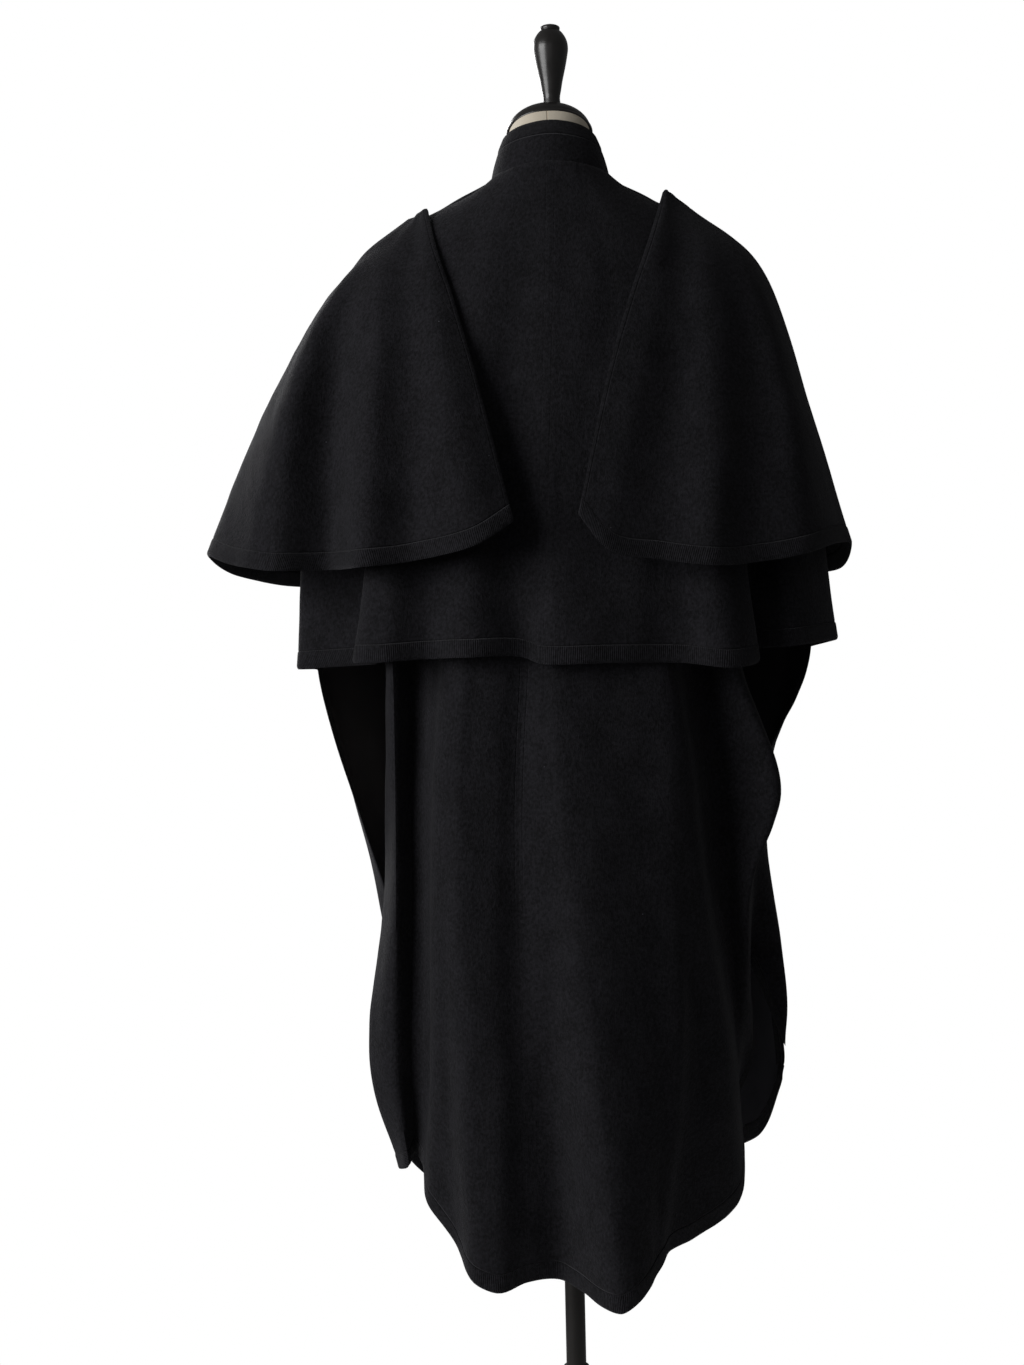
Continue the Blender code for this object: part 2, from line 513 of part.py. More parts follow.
def push_clear(grid, lower_pieces, gap, passes=3):
    """Move points out until they, and the middles between them, clear the lower pieces."""
    trees = [tree_of(piece) for piece in lower_pieces]
    for _ in range(passes):
        for column in grid:
            for j, point in enumerate(column):
                column[j] = point + shortfall(point, trees, gap)
        for a, b in zip(grid, grid[1:]):
            for j in range(len(a) - 1):
                middle = (a[j] + b[j] + a[j + 1] + b[j + 1]) / 4
                step = shortfall(middle, trees, gap)
                if step.length > 0.0:
                    for column in (a, b):
                        column[j] = column[j] + step
                        column[j + 1] = column[j + 1] + step


def last_hit(tree, start, direction, limit):
    """Distance of the farthest face that a ray meets before its limit, or 0."""
    travelled, farthest = 0.0, 0.0
    while travelled < limit:
        place, _, _, distance = tree.ray_cast(start + direction * travelled, direction, limit - travelled)
        if place is None:
            break
        travelled += distance + 0.0001
        farthest = travelled
    return farthest


# ------------------------------------------------------------------- pieces

def make_torso(material):
    builder = bmesh.new()
    rings = []
    for section in TORSO:
        ring = []
        for k in range(TORSO_SIDES):
            angle = 2 * pi * k / TORSO_SIDES
            depth = section.back if cos(angle) >= 0 else section.front
            x, y = ring_point(section.half_width, depth, angle, TORSO_SQUARENESS)
            ring.append(builder.verts.new(Vector((x, y, section.z + section.tilt * y)) * CM))
        rings.append(ring)
    close_rings(builder, rings)
    return finish("form_torso", builder, material)


def make_neck_cap(material):
    """A domed cap with a low rim, tilted forward as the neck's top is."""
    flat_radius = 0.009
    dome_radius = NECK_CAP_RADIUS - flat_radius - NECK_CAP_CHAMFER
    dome_height = NECK_CAP_DOME - NECK_CAP_RIM
    profile = [(NECK_CAP_RADIUS - NECK_CAP_CHAMFER, 0.0), (NECK_CAP_RADIUS, NECK_CAP_CHAMFER),
               (NECK_CAP_RADIUS, NECK_CAP_RIM)]
    steps = 6
    for k in range(1, steps + 1):
        angle = pi / 2 * k / steps
        profile.append((flat_radius + dome_radius * cos(angle), NECK_CAP_RIM + dome_height * sin(angle)))
    cap = turned("neck_cap", profile, 24, material)
    cap.rotation_euler = (NECK_CAP_TILT, 0.0, 0.0)
    cap.location = (0.0, 0.0, NECK_TOP_Z + SEAM_GAP)
    return cap


def make_finial(material):
    profile = [(row.radius * CM, row.z * CM) for row in FINIAL]
    finial = turned("finial", profile, 18, material, foot_slope=FINIAL_FOOT_SLOPE)
    finial.location.x = FINIAL_OFFSET
    return finial


def make_stand(material):
    """The round base with its sleeve in one, and the pole that stands in it."""
    top = BASE_THICKNESS
    base_profile = [
        (BASE_RADIUS - BASE_CHAMFER, 0.0),
        (BASE_RADIUS, BASE_CHAMFER),
        (BASE_RADIUS, top - BASE_CHAMFER),
        (BASE_RADIUS - BASE_CHAMFER, top),
        (BOSS_RADIUS, top + BASE_CHAMFER),
        (BOSS_RADIUS - 0.005, top + BOSS_HEIGHT / 2),
        (SLEEVE_RADIUS, top + BOSS_HEIGHT),
        (SLEEVE_RADIUS, SLEEVE_TOP_Z - SLEEVE_CHAMFER),
        (SLEEVE_RADIUS - SLEEVE_CHAMFER, SLEEVE_TOP_Z),
    ]
    base = turned("base", base_profile, 32, material)
    torso_bottom = TORSO[0].z * CM
    pole_profile = [(POLE_RADIUS, SLEEVE_TOP_Z + SEAM_GAP), (POLE_RADIUS, torso_bottom - SEAM_GAP)]
    pole = turned("pole", pole_profile, 20, material)
    return base, pole


class CollarRow(NamedTuple):
    """Collar at one angle from the centre back: seam ring and top ring."""
    angle: float
    seam_x: float
    seam_y: float
    seam_z: float
    top_x: float
    top_y: float
    top_z: float


COLLAR = (
    CollarRow(0, 0.0, 6.3, 145.4, 0.1, 4.65, 150.3),
    CollarRow(30, 3.2, 5.5, 145.1, 2.45, 4.05, 150.1),
    CollarRow(60, 5.5, 3.1, 144.5, 4.15, 2.40, 149.7),
    CollarRow(90, 6.3, 0.0, 143.9, 4.75, 0.0, 149.3),
    CollarRow(120, 5.6, -3.2, 142.6, 4.20, -2.65, 148.4),
    CollarRow(150, 3.3, -5.6, 141.2, 2.50, -4.50, 147.5),
    CollarRow(179, 0.12, -6.5, 140.6, 0.10, -5.10, 147.1),
)


def make_collar(material):
    """A stand collar, bowed out a little between its top and its seam."""
    seam = [Vector((row.seam_x, row.seam_y, row.seam_z)) * CM for row in COLLAR]
    top = [Vector((row.top_x, row.top_y, row.top_z)) * CM for row in COLLAR]
    flip = Vector((-1.0, 1.0, 1.0))
    seam = [point * flip for point in reversed(seam[1:])] + seam
    top = [point * flip for point in reversed(top[1:])] + top
    angles = [-row.angle for row in reversed(COLLAR[1:])] + [row.angle for row in COLLAR]
    knots = [(angle - angles[0]) / (angles[-1] - angles[0]) for angle in angles]
    columns, levels = 36, 4
    grid = []
    for i in range(columns + 1):
        low = spline(knots, seam, i / columns)
        high = spline(knots, top, i / columns)
        outward = Vector((low.x, low.y, 0.0)).normalized()
        column = []
        for j in range(levels + 1):
            f = j / levels
            column.append(high.lerp(low, f) + outward * COLLAR_BOW * 4 * f * (1 - f))
        grid.append(column)
    return wall("collar", grid, COLLAR_WALL, material)


def make_cloth(name, ribs, knots, levels, lower_pieces, material, steps_between=2):
    grid = sheet(ribs, knots, levels, steps_between)
    push_clear(grid, lower_pieces, CLOTH_WALL / 2 + LAYER_CLEARANCE)
    has_centre_seam = ribs[0].name == "centre seam"
    if has_centre_seam:
        outward = 1 if ribs[-1].hem[0] > 0 else -1
        for point in grid[0]:
            point.x += outward * SEAM_GAP / 2
    is_long = isinstance(ribs[0], LongRib)
    if is_long:
        side = 1 if ribs[0].chest[1] > 0 else -1
        for column in grid:
            column[0].y = side * max(side * column[0].y, SEAM_GAP / 2)
    return wall(name, grid, CLOTH_WALL, material, square_side=has_centre_seam, square_top=is_long)


def make_button(number, height, front, material):
    """A plain dished button on the front's overlap, square to the cloth there."""
    place, normal, _, _ = tree_of(front).ray_cast(Vector((0.0, -0.4, height)), Vector((0.0, 1.0, 0.0)))
    rim = BUTTON_THICKNESS * 0.3
    profile = [
        (BUTTON_RADIUS - rim / 2, 0.0),
        (BUTTON_RADIUS, rim / 2),
        (BUTTON_RADIUS, BUTTON_THICKNESS - rim),
        (BUTTON_RADIUS - rim, BUTTON_THICKNESS),
        (BUTTON_RADIUS * 0.7, BUTTON_THICKNESS * 0.78),
    ]
    button = turned(f"button_{number}", profile, 16, material)
    button.rotation_euler = normal.to_track_quat("Z", "Y").to_euler()
    button.location = place + normal * BUTTON_STANDOFF
    return button


def main():
    for piece in list(bpy.data.objects):
        bpy.data.objects.remove(piece, do_unlink=True)
    wool = make_material("black wool", (0.014, 0.014, 0.015), 0.9)
    calico = make_material("cream calico", (0.72, 0.66, 0.55), 0.85)
    lacquer = make_material("black lacquer", (0.012, 0.012, 0.013), 0.25)
    steel = make_material("black steel", (0.03, 0.028, 0.026), 0.35, 0.6)
    horn = make_material("black horn", (0.01, 0.01, 0.01), 0.3)

    torso = make_torso(calico)
    make_neck_cap(lacquer)
    make_finial(lacquer)
    make_stand(steel)
    make_collar(wool)

    back_left = make_cloth("back_left", BACK_LEFT, LONG_KNOTS, LONG_LEVELS, [torso], wool)
    back_right = make_cloth("back_right", BACK_RIGHT, LONG_KNOTS, LONG_LEVELS, [torso], wool)
    front_left = make_cloth("front_left", FRONT_LEFT, LONG_KNOTS, LONG_LEVELS, [torso], wool)
    front_right = make_cloth("front_right", FRONT_RIGHT, LONG_KNOTS, LONG_LEVELS, [torso, front_left], wool)
    under_cape = [torso, back_left, back_right, front_left, front_right]
    cape_left = make_cloth("cape_left", CAPE_LEFT, CAPE_KNOTS, CAPE_LEVELS, under_cape, wool)
    cape_right = make_cloth("cape_right", CAPE_RIGHT, CAPE_KNOTS, CAPE_LEVELS, under_cape, wool)
    under_wing = [*under_cape, cape_left, cape_right]
    make_cloth("wing_left", WING_LEFT, WING_KNOTS, WING_LEVELS, under_wing, wool)
    make_cloth("wing_right", WING_RIGHT, WING_KNOTS, WING_LEVELS, under_wing, wool)
    for number, height in enumerate(BUTTON_HEIGHTS, start=1):
        make_button(number, height, front_right, horn)


main()
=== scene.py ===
"""Looks of the wool cape coat on its limbless dress form.

Every cloth piece is a thin shell on the form of its CAD solid: the same ribs as
in the part's tables, sampled finely, pushed clear of the layer below, creased
and rolled at its edges.  Metres, +Z up, the wearer faces -Y.
"""

from math import cos, pi, radians, sin
from typing import NamedTuple

import bpy
import numpy as np
from mathutils import Matrix, Vector
from mathutils.bvhtree import BVHTree


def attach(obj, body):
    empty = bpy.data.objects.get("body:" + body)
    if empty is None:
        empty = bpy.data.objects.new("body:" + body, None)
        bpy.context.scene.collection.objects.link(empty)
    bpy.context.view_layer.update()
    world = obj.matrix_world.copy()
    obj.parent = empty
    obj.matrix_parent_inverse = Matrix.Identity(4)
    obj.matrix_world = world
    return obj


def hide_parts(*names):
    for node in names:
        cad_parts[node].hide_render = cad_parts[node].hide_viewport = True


CM = 0.01
MM = 0.001

# Cloth, as in the part
CLOTH_WALL = 0.0024
COLLAR_WALL = 0.0030
COLLAR_BOW = 0.0025
SEAM_GAP = 0.0003
SHOWN_SEAM = 0.00006
FACING_WIDTH = 0.011
LAYER_CLEARANCE = 0.0022
HEM_BAND = 0.0175
HEM_SWELL = 0.0006
EDGE_ROLL = 0.0011
SHARP_EDGE = radians(65.0)

# Fineness of the shells
ACROSS_STEP = 0.0050
ROWS_LONG = 190
ROWS_CAPE = 96
ROWS_WING = 84
HEM_ROWS = (0.0, 0.0008, 0.0022, 0.0045, 0.0085, 0.0125, 0.0160, 0.0169, 0.0175, 0.0181, 0.0190, 0.0220)

# Form and stand, as in the part
TORSO_SIDES = 96
TORSO_SQUARENESS = 2.25
NECK_TOP_Z = 1.498
NECK_CAP_RADIUS = 0.046
NECK_CAP_CHAMFER = 0.0015
NECK_CAP_RIM = 0.0035
NECK_CAP_DOME = 0.025
NECK_CAP_TILT = radians(21.0)
FINIAL_OFFSET = -0.003
FINIAL_FOOT_SLOPE = 0.27
FINIAL_TIP_RADIUS = 0.0022
POLE_RADIUS = 0.0105
SLEEVE_RADIUS = 0.0135
SLEEVE_TOP_Z = 0.196
BASE_RADIUS = 0.175
BASE_THICKNESS = 0.012
BASE_CHAMFER = 0.003
BOSS_RADIUS = 0.026
BOSS_HEIGHT = 0.020
BUTTON_RADIUS = 0.0125
BUTTON_THICKNESS = 0.0042

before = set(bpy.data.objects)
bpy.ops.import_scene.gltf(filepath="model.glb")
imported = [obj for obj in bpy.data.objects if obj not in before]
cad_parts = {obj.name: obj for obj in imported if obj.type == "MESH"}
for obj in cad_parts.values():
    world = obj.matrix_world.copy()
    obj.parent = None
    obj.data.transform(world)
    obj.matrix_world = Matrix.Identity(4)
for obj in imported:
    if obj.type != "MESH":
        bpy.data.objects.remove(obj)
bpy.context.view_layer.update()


# ------------------------------------------------------------------- tables

class Section(NamedTuple):
    """One level of the torso: height, half width, depths and rise per depth."""
    z: float
    half_width: float
    front: float
    back: float
    tilt: float


TORSO = (
    Section(77.0, 13.9, 10.3, 10.1, 0.0),
    Section(79.0, 14.6, 10.8, 10.6, 0.0),
    Section(87.0, 14.8, 11.0, 10.8, 0.0),
    Section(96.0, 13.6, 10.0, 9.2, 0.0),
    Section(106.0, 12.0, 9.2, 7.6, 0.0),
    Section(114.0, 13.4, 10.8, 8.2, 0.0),
    Section(122.0, 15.2, 11.8, 9.0, 0.0),
    Section(128.0, 16.2, 10.8, 9.2, 0.0),
    Section(133.0, 16.2, 9.0, 8.6, 0.0),
    Section(136.0, 14.6, 7.6, 7.4, 0.0),
    Section(138.1, 12.0, 6.5, 6.7, 0.0),
    Section(139.9, 9.6, 5.7, 6.2, 0.0),
    Section(141.5, 7.2, 5.1, 5.7, 0.05),
    Section(143.0, 5.5, 4.8, 5.2, 0.10),
    Section(145.2, 4.7, 4.5, 4.7, 0.20),
    Section(147.4, 4.4, 4.3, 4.4, 0.30),
    Section(149.77, 4.3, 4.2, 4.3, 0.384),
)


class Turn(NamedTuple):
    """One ring of a turned piece: its name, height and radius."""
    name: str
    z: float
    radius: float


FINIAL = (
    Turn("foot", 152.62, 0.92),
    Turn("foot bead", 153.10, 0.96),
    Turn("neck", 153.80, 0.91),
    Turn("stem", 154.70, 1.06),
    Turn("stem", 155.55, 1.21),
    Turn("swell", 156.40, 1.40),
    Turn("swell", 157.35, 1.61),
    Turn("swell", 158.20, 1.77),
    Turn("widest", 159.10, 1.88),
    Turn("shoulder", 159.80, 1.78),
    Turn("shoulder", 160.40, 1.50),
    Turn("shoulder", 160.85, 1.14),
    Turn("groove", 160.97, 1.00),
    Turn("top bead", 161.12, 1.04),
    Turn("top bead", 161.45, 0.85),
    Turn("top", 161.60, 0.40),
)


class Rib(NamedTuple):
    """One crest, trough or edge of a cape or wing, from its top to its hem."""
    name: str
    top: tuple
    shoulder: tuple
    fall: tuple
    hem: tuple


class LongRib(NamedTuple):
    """One crest, trough or edge of a long panel.

    Its top is a place on the neck edge, or one x on the shoulder seam.  Hip, seat,
    thigh and knee are places in plan at their levels, or have a height of their own.
    """
    name: str
    top: tuple
    chest: tuple
    hip: tuple
    seat: tuple
    thigh: tuple
    knee: tuple
    hem: tuple


HIP_Z = 93.0
SEAT_Z = 80.5
THIGH_Z = 70.0
KNEE_Z = 56.0

# Knots place a table's columns along a rib; levels are where the wall has points
LONG_KNOTS = (0.0, 0.17, 0.46, 0.57, 0.66, 0.78, 1.0)
CAPE_KNOTS = (0.0, 0.27, 0.62, 1.0)
WING_KNOTS = (0.0, 0.25, 0.6, 1.0)

# Shoulder seam of the long panels, falling and rounding away from the neck
SHOULDER_START = (6.5, 143.4)
SHOULDER_FALL = 0.324
SHOULDER_ROUND = 0.0185

BACK_LEFT = (
    LongRib("centre seam", (0.3, 6.3, 144.9), (0.9, 9.9, 128),
            (4.0, 12.6), (4.8, 12.9), (5.0, 13.0), (5.0, 13.0), (4.9, 12.8, 31.9)),
    LongRib("lobe", (2.5, 5.8, 144.8), (4.0, 9.9, 128),
            (6.6, 12.9), (7.2, 13.4), (7.7, 13.7), (8.0, 13.9), (8.1, 14.4, 31.3)),
    LongRib("crease crest", (4.4, 4.5, 144.4), (7.4, 9.7, 128),
            (9.0, 13.0), (9.8, 13.5), (10.4, 13.8), (10.9, 13.7), (10.7, 13.5, 32.4)),
    LongRib("crease foot", (5.7, 2.6, 143.9), (10.0, 9.3, 128),
            (10.4, 12.9), (11.3, 13.2), (11.9, 12.9), (12.0, 11.8), (11.7, 9.6, 34.4)),
    LongRib("main turn", 6.5, (12.6, 8.5, 128),
            (12.2, 11.2), (13.3, 11.0), (13.7, 10.6), (14.1, 9.4), (14.9, 6.8, 38.3)),
    LongRib("valley wall", 9.4, (14.6, 7.2, 128),
            (13.2, 7.6), (14.0, 7.2), (14.2, 6.6), (14.5, 5.4), (15.7, 2.4, 41.6)),
    LongRib("valley", 12.3, (16.2, 5.4, 128),
            (15.4, 5.0), (15.9, 4.4), (16.1, 3.9), (16.5, 3.1), (16.6, 0.6, 42.6)),
    LongRib("strip crest", 15.3, (17.4, 3.6, 128),
            (17.4, 7.2), (17.5, 7.0), (17.7, 6.6), (18.3, 5.2), (17.2, 2.6, 41.6)),
    LongRib("side edge", 18.2, (18.0, 1.4, 127),
            (18.4, 2.8), (18.8, 2.4), (19.1, 1.9), (21.1, 1.3), (18.3, 0.2, 40.8)),
)

BACK_RIGHT = (
    LongRib("centre seam", (0.3, 6.3, 144.9), (0.9, 9.9, 128),
            (4.0, 12.6), (4.8, 12.9), (5.0, 13.0), (5.0, 13.0), (4.9, 12.8, 31.9)),
    LongRib("hollow", (-1.3, 6.1, 144.9), (-1.8, 9.9, 128),
            (2.2, 13.4), (2.4, 14.1), (2.3, 14.1), (2.1, 13.5), (1.8, 11.6, 31.8)),
    LongRib("main crest", (-2.9, 5.6, 144.7), (-4.6, 9.9, 128),
            (-0.2, 13.9), (-0.7, 15.0), (-1.5, 16.0), (-2.4, 17.3), (-4.2, 19.4, 30.3)),
    LongRib("crest side", (-4.4, 4.5, 144.4), (-7.4, 9.7, 128),
            (-4.2, 13.3), (-4.8, 14.1), (-5.6, 14.7), (-6.7, 15.3), (-7.2, 16.6, 32.2)),
    LongRib("crease", (-5.7, 2.6, 143.9), (-10.0, 9.3, 128),
            (-7.6, 13.0), (-8.8, 13.1), (-9.8, 13.1), (-10.5, 13.0), (-8.9, 13.2, 34.4)),
    LongRib("crease foot", -6.5, (-12.2, 8.7, 128),
            (-9.8, 12.8), (-11.0, 12.4), (-11.8, 11.9), (-12.6, 11.0), (-12.2, 10.0, 35.4)),
    LongRib("main turn", -8.8, (-14.0, 7.7, 128),
            (-11.3, 11.6), (-12.7, 10.9), (-13.7, 10.2), (-15.6, 8.4), (-17.0, 6.0, 37.8)),
    LongRib("valley wall", -11.2, (-15.4, 6.4, 128),
            (-12.4, 8.4), (-13.8, 7.8), (-14.8, 7.0), (-16.7, 5.2), (-18.0, 2.4, 42.0)),
    LongRib("valley", -13.5, (-16.6, 4.9, 128),
            (-14.4, 6.4), (-16.0, 5.8), (-16.6, 5.0), (-17.3, 3.6), (-17.4, -0.4, 46.0)),
    LongRib("strip crest", -15.8, (-17.5, 3.3, 128),
            (-17.6, 8.6), (-21.2, 8.6), (-18.8, 7.2, 71.0), (-18.6, 4.6, 62.0), (-19.4, 0.4, 52.0)),
    LongRib("strip turn", -17.1, (-18.0, 2.0, 127),
            (-18.6, 5.0), (-21.6, 5.2, 81.0), (-19.9, 4.0, 74.0), (-19.6, 2.2, 68.0), (-19.2, -0.2, 61.5)),
    LongRib("side edge", -18.2, (-18.2, 1.0, 126),
            (-18.4, 1.8), (-20.6, 1.0, 81.0), (-21.7, 0.6, 71.0), (-22.9, 0.6, 61.0), (-22.8, 0.4, 53.0)),
)

FRONT_LEFT = (
    LongRib("side edge", 18.2, (19.2, -1.6, 126),
            (25.6, 0.0), (22.4, -0.6), (19.2, -1.4), (17.3, -3.0), (15.8, -4.4, 44.0)),
    LongRib("side bulge", 15.8, (18.4, -4.4, 126),
            (24.2, -4.6), (22.0, -5.2), (20.2, -5.8), (18.4, -7.0), (17.8, -8.4, 40.6)),
    LongRib("trough", 12.8, (16.6, -7.6, 126),
            (20.6, -9.0), (19.2, -9.2), (18.0, -9.5), (16.5, -10.0), (15.6, -10.8, 37.4)),
    LongRib("crest", 9.4, (13.8, -10.2, 126),
            (16.2, -13.6), (15.6, -14.0), (15.0, -14.6), (14.1, -15.4), (13.8, -16.4, 34.4)),
    LongRib("trough", 6.5, (10.4, -12.0, 126),
            (10.6, -13.4), (10.1, -13.6), (9.6, -13.8), (9.2, -14.0), (9.0, -14.4, 32.4)),
    LongRib("crest", (5.6, -3.1, 142.3), (6.2, -12.9, 126),
            (5.8, -15.2), (5.6, -15.6), (5.3, -16.1), (5.0, -16.8), (5.0, -17.6, 31.4)),
    LongRib("overlap", (3.4, -5.4, 140.9), (2.4, -13.1, 126),
            (2.0, -14.8), (1.9, -15.1), (1.8, -15.5), (1.8, -15.8), (1.8, -16.2, 31.0)),
    LongRib("front edge", (0.4, -6.3, 140.2), (-1.5, -13.1, 126),
            (-1.6, -14.7), (-1.6, -15.0), (-1.6, -15.3), (-1.6, -15.6), (-1.6, -16.0, 31.0)),
)

FRONT_RIGHT = (
    LongRib("side edge", -18.2, (-19.2, -1.8, 126),
            (-26.0, -0.2), (-20.6, -0.8), (-19.8, -1.4), (-22.4, -1.2), (-22.5, -0.8, 49.0)),
    LongRib("corner", -16.8, (-18.8, -3.4, 126),
            (-25.4, -2.8), (-21.4, -3.2), (-20.4, -3.6), (-20.6, -3.8), (-20.6, -2.8, 43.4)),
    LongRib("side bulge", -14.8, (-17.8, -5.6, 126),
            (-23.8, -6.0), (-21.6, -6.4), (-20.0, -6.8), (-18.8, -7.4), (-18.0, -7.8, 40.6)),
    LongRib("trough", -12.0, (-15.8, -8.2, 126),
            (-19.8, -9.8), (-18.4, -10.0), (-17.4, -10.3), (-16.3, -10.8), (-15.4, -11.2, 37.4)),
    LongRib("crest", -9.2, (-13.0, -10.7, 126),
            (-15.0, -14.2), (-14.5, -14.5), (-14.0, -15.0), (-13.3, -15.8), (-12.8, -16.8, 34.0)),
    LongRib("trough", -6.5, (-9.6, -12.3, 126),
            (-9.4, -13.9), (-9.2, -14.2), (-8.9, -14.5), (-8.6, -14.8), (-8.2, -15.0, 32.2)),
    LongRib("crest", (-5.6, -3.1, 142.3), (-5.8, -13.1, 126),
            (-4.6, -15.9), (-4.5, -16.4), (-4.4, -16.9), (-4.2, -17.4), (-4.0, -18.2, 31.3)),
    LongRib("overlap", (-3.4, -5.4, 140.9), (-2.2, -13.7, 126),
            (-1.6, -15.7), (-1.6, -16.1), (-1.6, -16.5), (-1.6, -16.8), (-1.6, -17.2, 31.0)),
    LongRib("front edge", (-0.4, -6.3, 140.2), (1.7, -13.7, 126),
            (1.7, -15.5), (1.7, -15.8), (1.7, -16.2), (1.7, -16.5), (1.7, -16.9, 31.0)),
)

CAPE_LEFT = (
    Rib("centre seam", (0.1, 6.75, 145.6), (0.5, 10.1, 134.5), (1.4, 12.9, 115), (2.35, 14.9, 93.9)),
    Rib("dip", (1.8, 6.6, 145.5), (3.0, 9.8, 134.5), (5.0, 11.7, 115), (4.2, 13.7, 94.6)),
    Rib("crest", (3.5, 6.0, 145.3), (7.0, 9.4, 134.5), (8.8, 12.6, 115), (9.2, 16.0, 94.7)),
    Rib("dip", (4.8, 5.0, 145.0), (10.6, 8.0, 134.6), (12.8, 10.9, 115), (14.0, 13.2, 94.6)),
    Rib("fold crest", (5.4, 4.3, 144.9), (12.8, 7.0, 135.0), (15.8, 11.0, 115), (18.3, 14.4, 94.4)),
    Rib("fold edge", (5.8, 3.7, 144.8), (14.4, 5.9, 135.4), (18.0, 9.6, 115), (21.1, 12.4, 94.4)),
    Rib("tuck", (6.4, 2.3, 144.5), (16.8, 3.8, 136.2), (19.0, 6.0, 115), (18.9, 7.2, 94.3)),
    Rib("side crest", (6.75, 0.4, 144.2), (19.2, 0.2, 137.2), (25.6, 1.8, 115), (27.5, 3.0, 94.0)),
    Rib("side trough", (6.7, -1.4, 143.9), (18.8, -2.6, 136.4), (24.6, -2.8, 115), (26.4, -3.6, 94.0)),
    Rib("crest", (6.3, -3.0, 143.3), (16.8, -5.8, 134.6), (22.4, -8.2, 115), (25.6, -9.8, 93.8)),
    Rib("trough", (5.6, -4.4, 142.6), (13.8, -8.6, 132.8), (17.2, -11.6, 115), (19.0, -13.2, 93.6)),
    Rib("crest", (4.5, -5.6, 141.9), (10.0, -10.8, 131.6), (12.6, -14.6, 115), (14.4, -17.6, 93.4)),
    Rib("trough", (3.2, -6.4, 141.4), (6.4, -12.2, 131.0), (8.2, -15.0, 115), (9.4, -16.8, 93.5)),
    Rib("front edge", (1.7, -6.9, 141.0), (3.4, -13.0, 130.8), (5.0, -15.8, 115), (6.2, -18.0, 93.3)),
)

CAPE_RIGHT = (
    Rib("centre seam", (0.1, 6.75, 145.6), (0.5, 10.1, 134.5), (1.4, 12.9, 115), (2.35, 14.9, 93.9)),
    Rib("crest", (-1.8, 6.6, 145.5), (-1.2, 10.0, 134.5), (-0.2, 13.1, 115), (0.5, 16.2, 93.8)),
    Rib("slope", (-2.8, 6.3, 145.4), (-4.6, 9.7, 134.5), (-5.4, 12.0, 115), (-5.8, 14.9, 93.8)),
    Rib("dip", (-3.7, 5.9, 145.3), (-8.0, 9.1, 134.6), (-10.6, 11.0, 115), (-11.8, 13.4, 93.7)),
    Rib("crest", (-4.8, 5.0, 145.1), (-11.2, 8.0, 134.8), (-14.2, 12.0, 115), (-16.4, 15.4, 93.1)),
    Rib("fold edge", (-5.8, 3.7, 144.9), (-14.0, 6.1, 135.6), (-17.2, 9.4, 115), (-19.7, 11.6, 93.6)),
    Rib("tuck", (-6.4, 2.3, 144.6), (-16.6, 3.8, 136.4), (-18.6, 5.4, 115), (-19.6, 6.6, 94.9)),
    Rib("side", (-6.7, 1.1, 144.4), (-18.4, 1.6, 137.2), (-22.2, 5.4, 115), (-23.6, 8.6, 95.2)),
    Rib("side crest", (-6.75, -0.4, 144.2), (-19.2, -0.6, 137.2), (-26.6, -0.2, 115), (-29.2, 0.2, 95.9)),
    Rib("side trough", (-6.6, -1.9, 143.8), (-18.4, -3.6, 136.0), (-23.6, -4.2, 115), (-26.8, -5.0, 95.2)),
    Rib("crest", (-6.2, -3.3, 143.1), (-16.4, -6.4, 134.4), (-21.6, -9.2, 115), (-24.6, -11.0, 94.4)),
    Rib("trough", (-5.5, -4.6, 142.4), (-13.4, -9.0, 132.6), (-16.6, -12.2, 115), (-18.0, -14.2, 93.8)),
    Rib("crest", (-4.4, -5.7, 141.9), (-9.6, -11.0, 131.6), (-11.8, -15.2, 115), (-13.0, -18.4, 93.5)),
    Rib("trough", (-3.1, -6.4, 141.4), (-6.2, -12.4, 131.0), (-7.8, -15.4, 115), (-8.6, -17.2, 93.5)),
    Rib("front edge", (-1.7, -6.9, 141.0), (-3.3, -13.2, 130.8), (-4.8, -16.2, 115), (-5.8, -18.6, 93.3)),
)

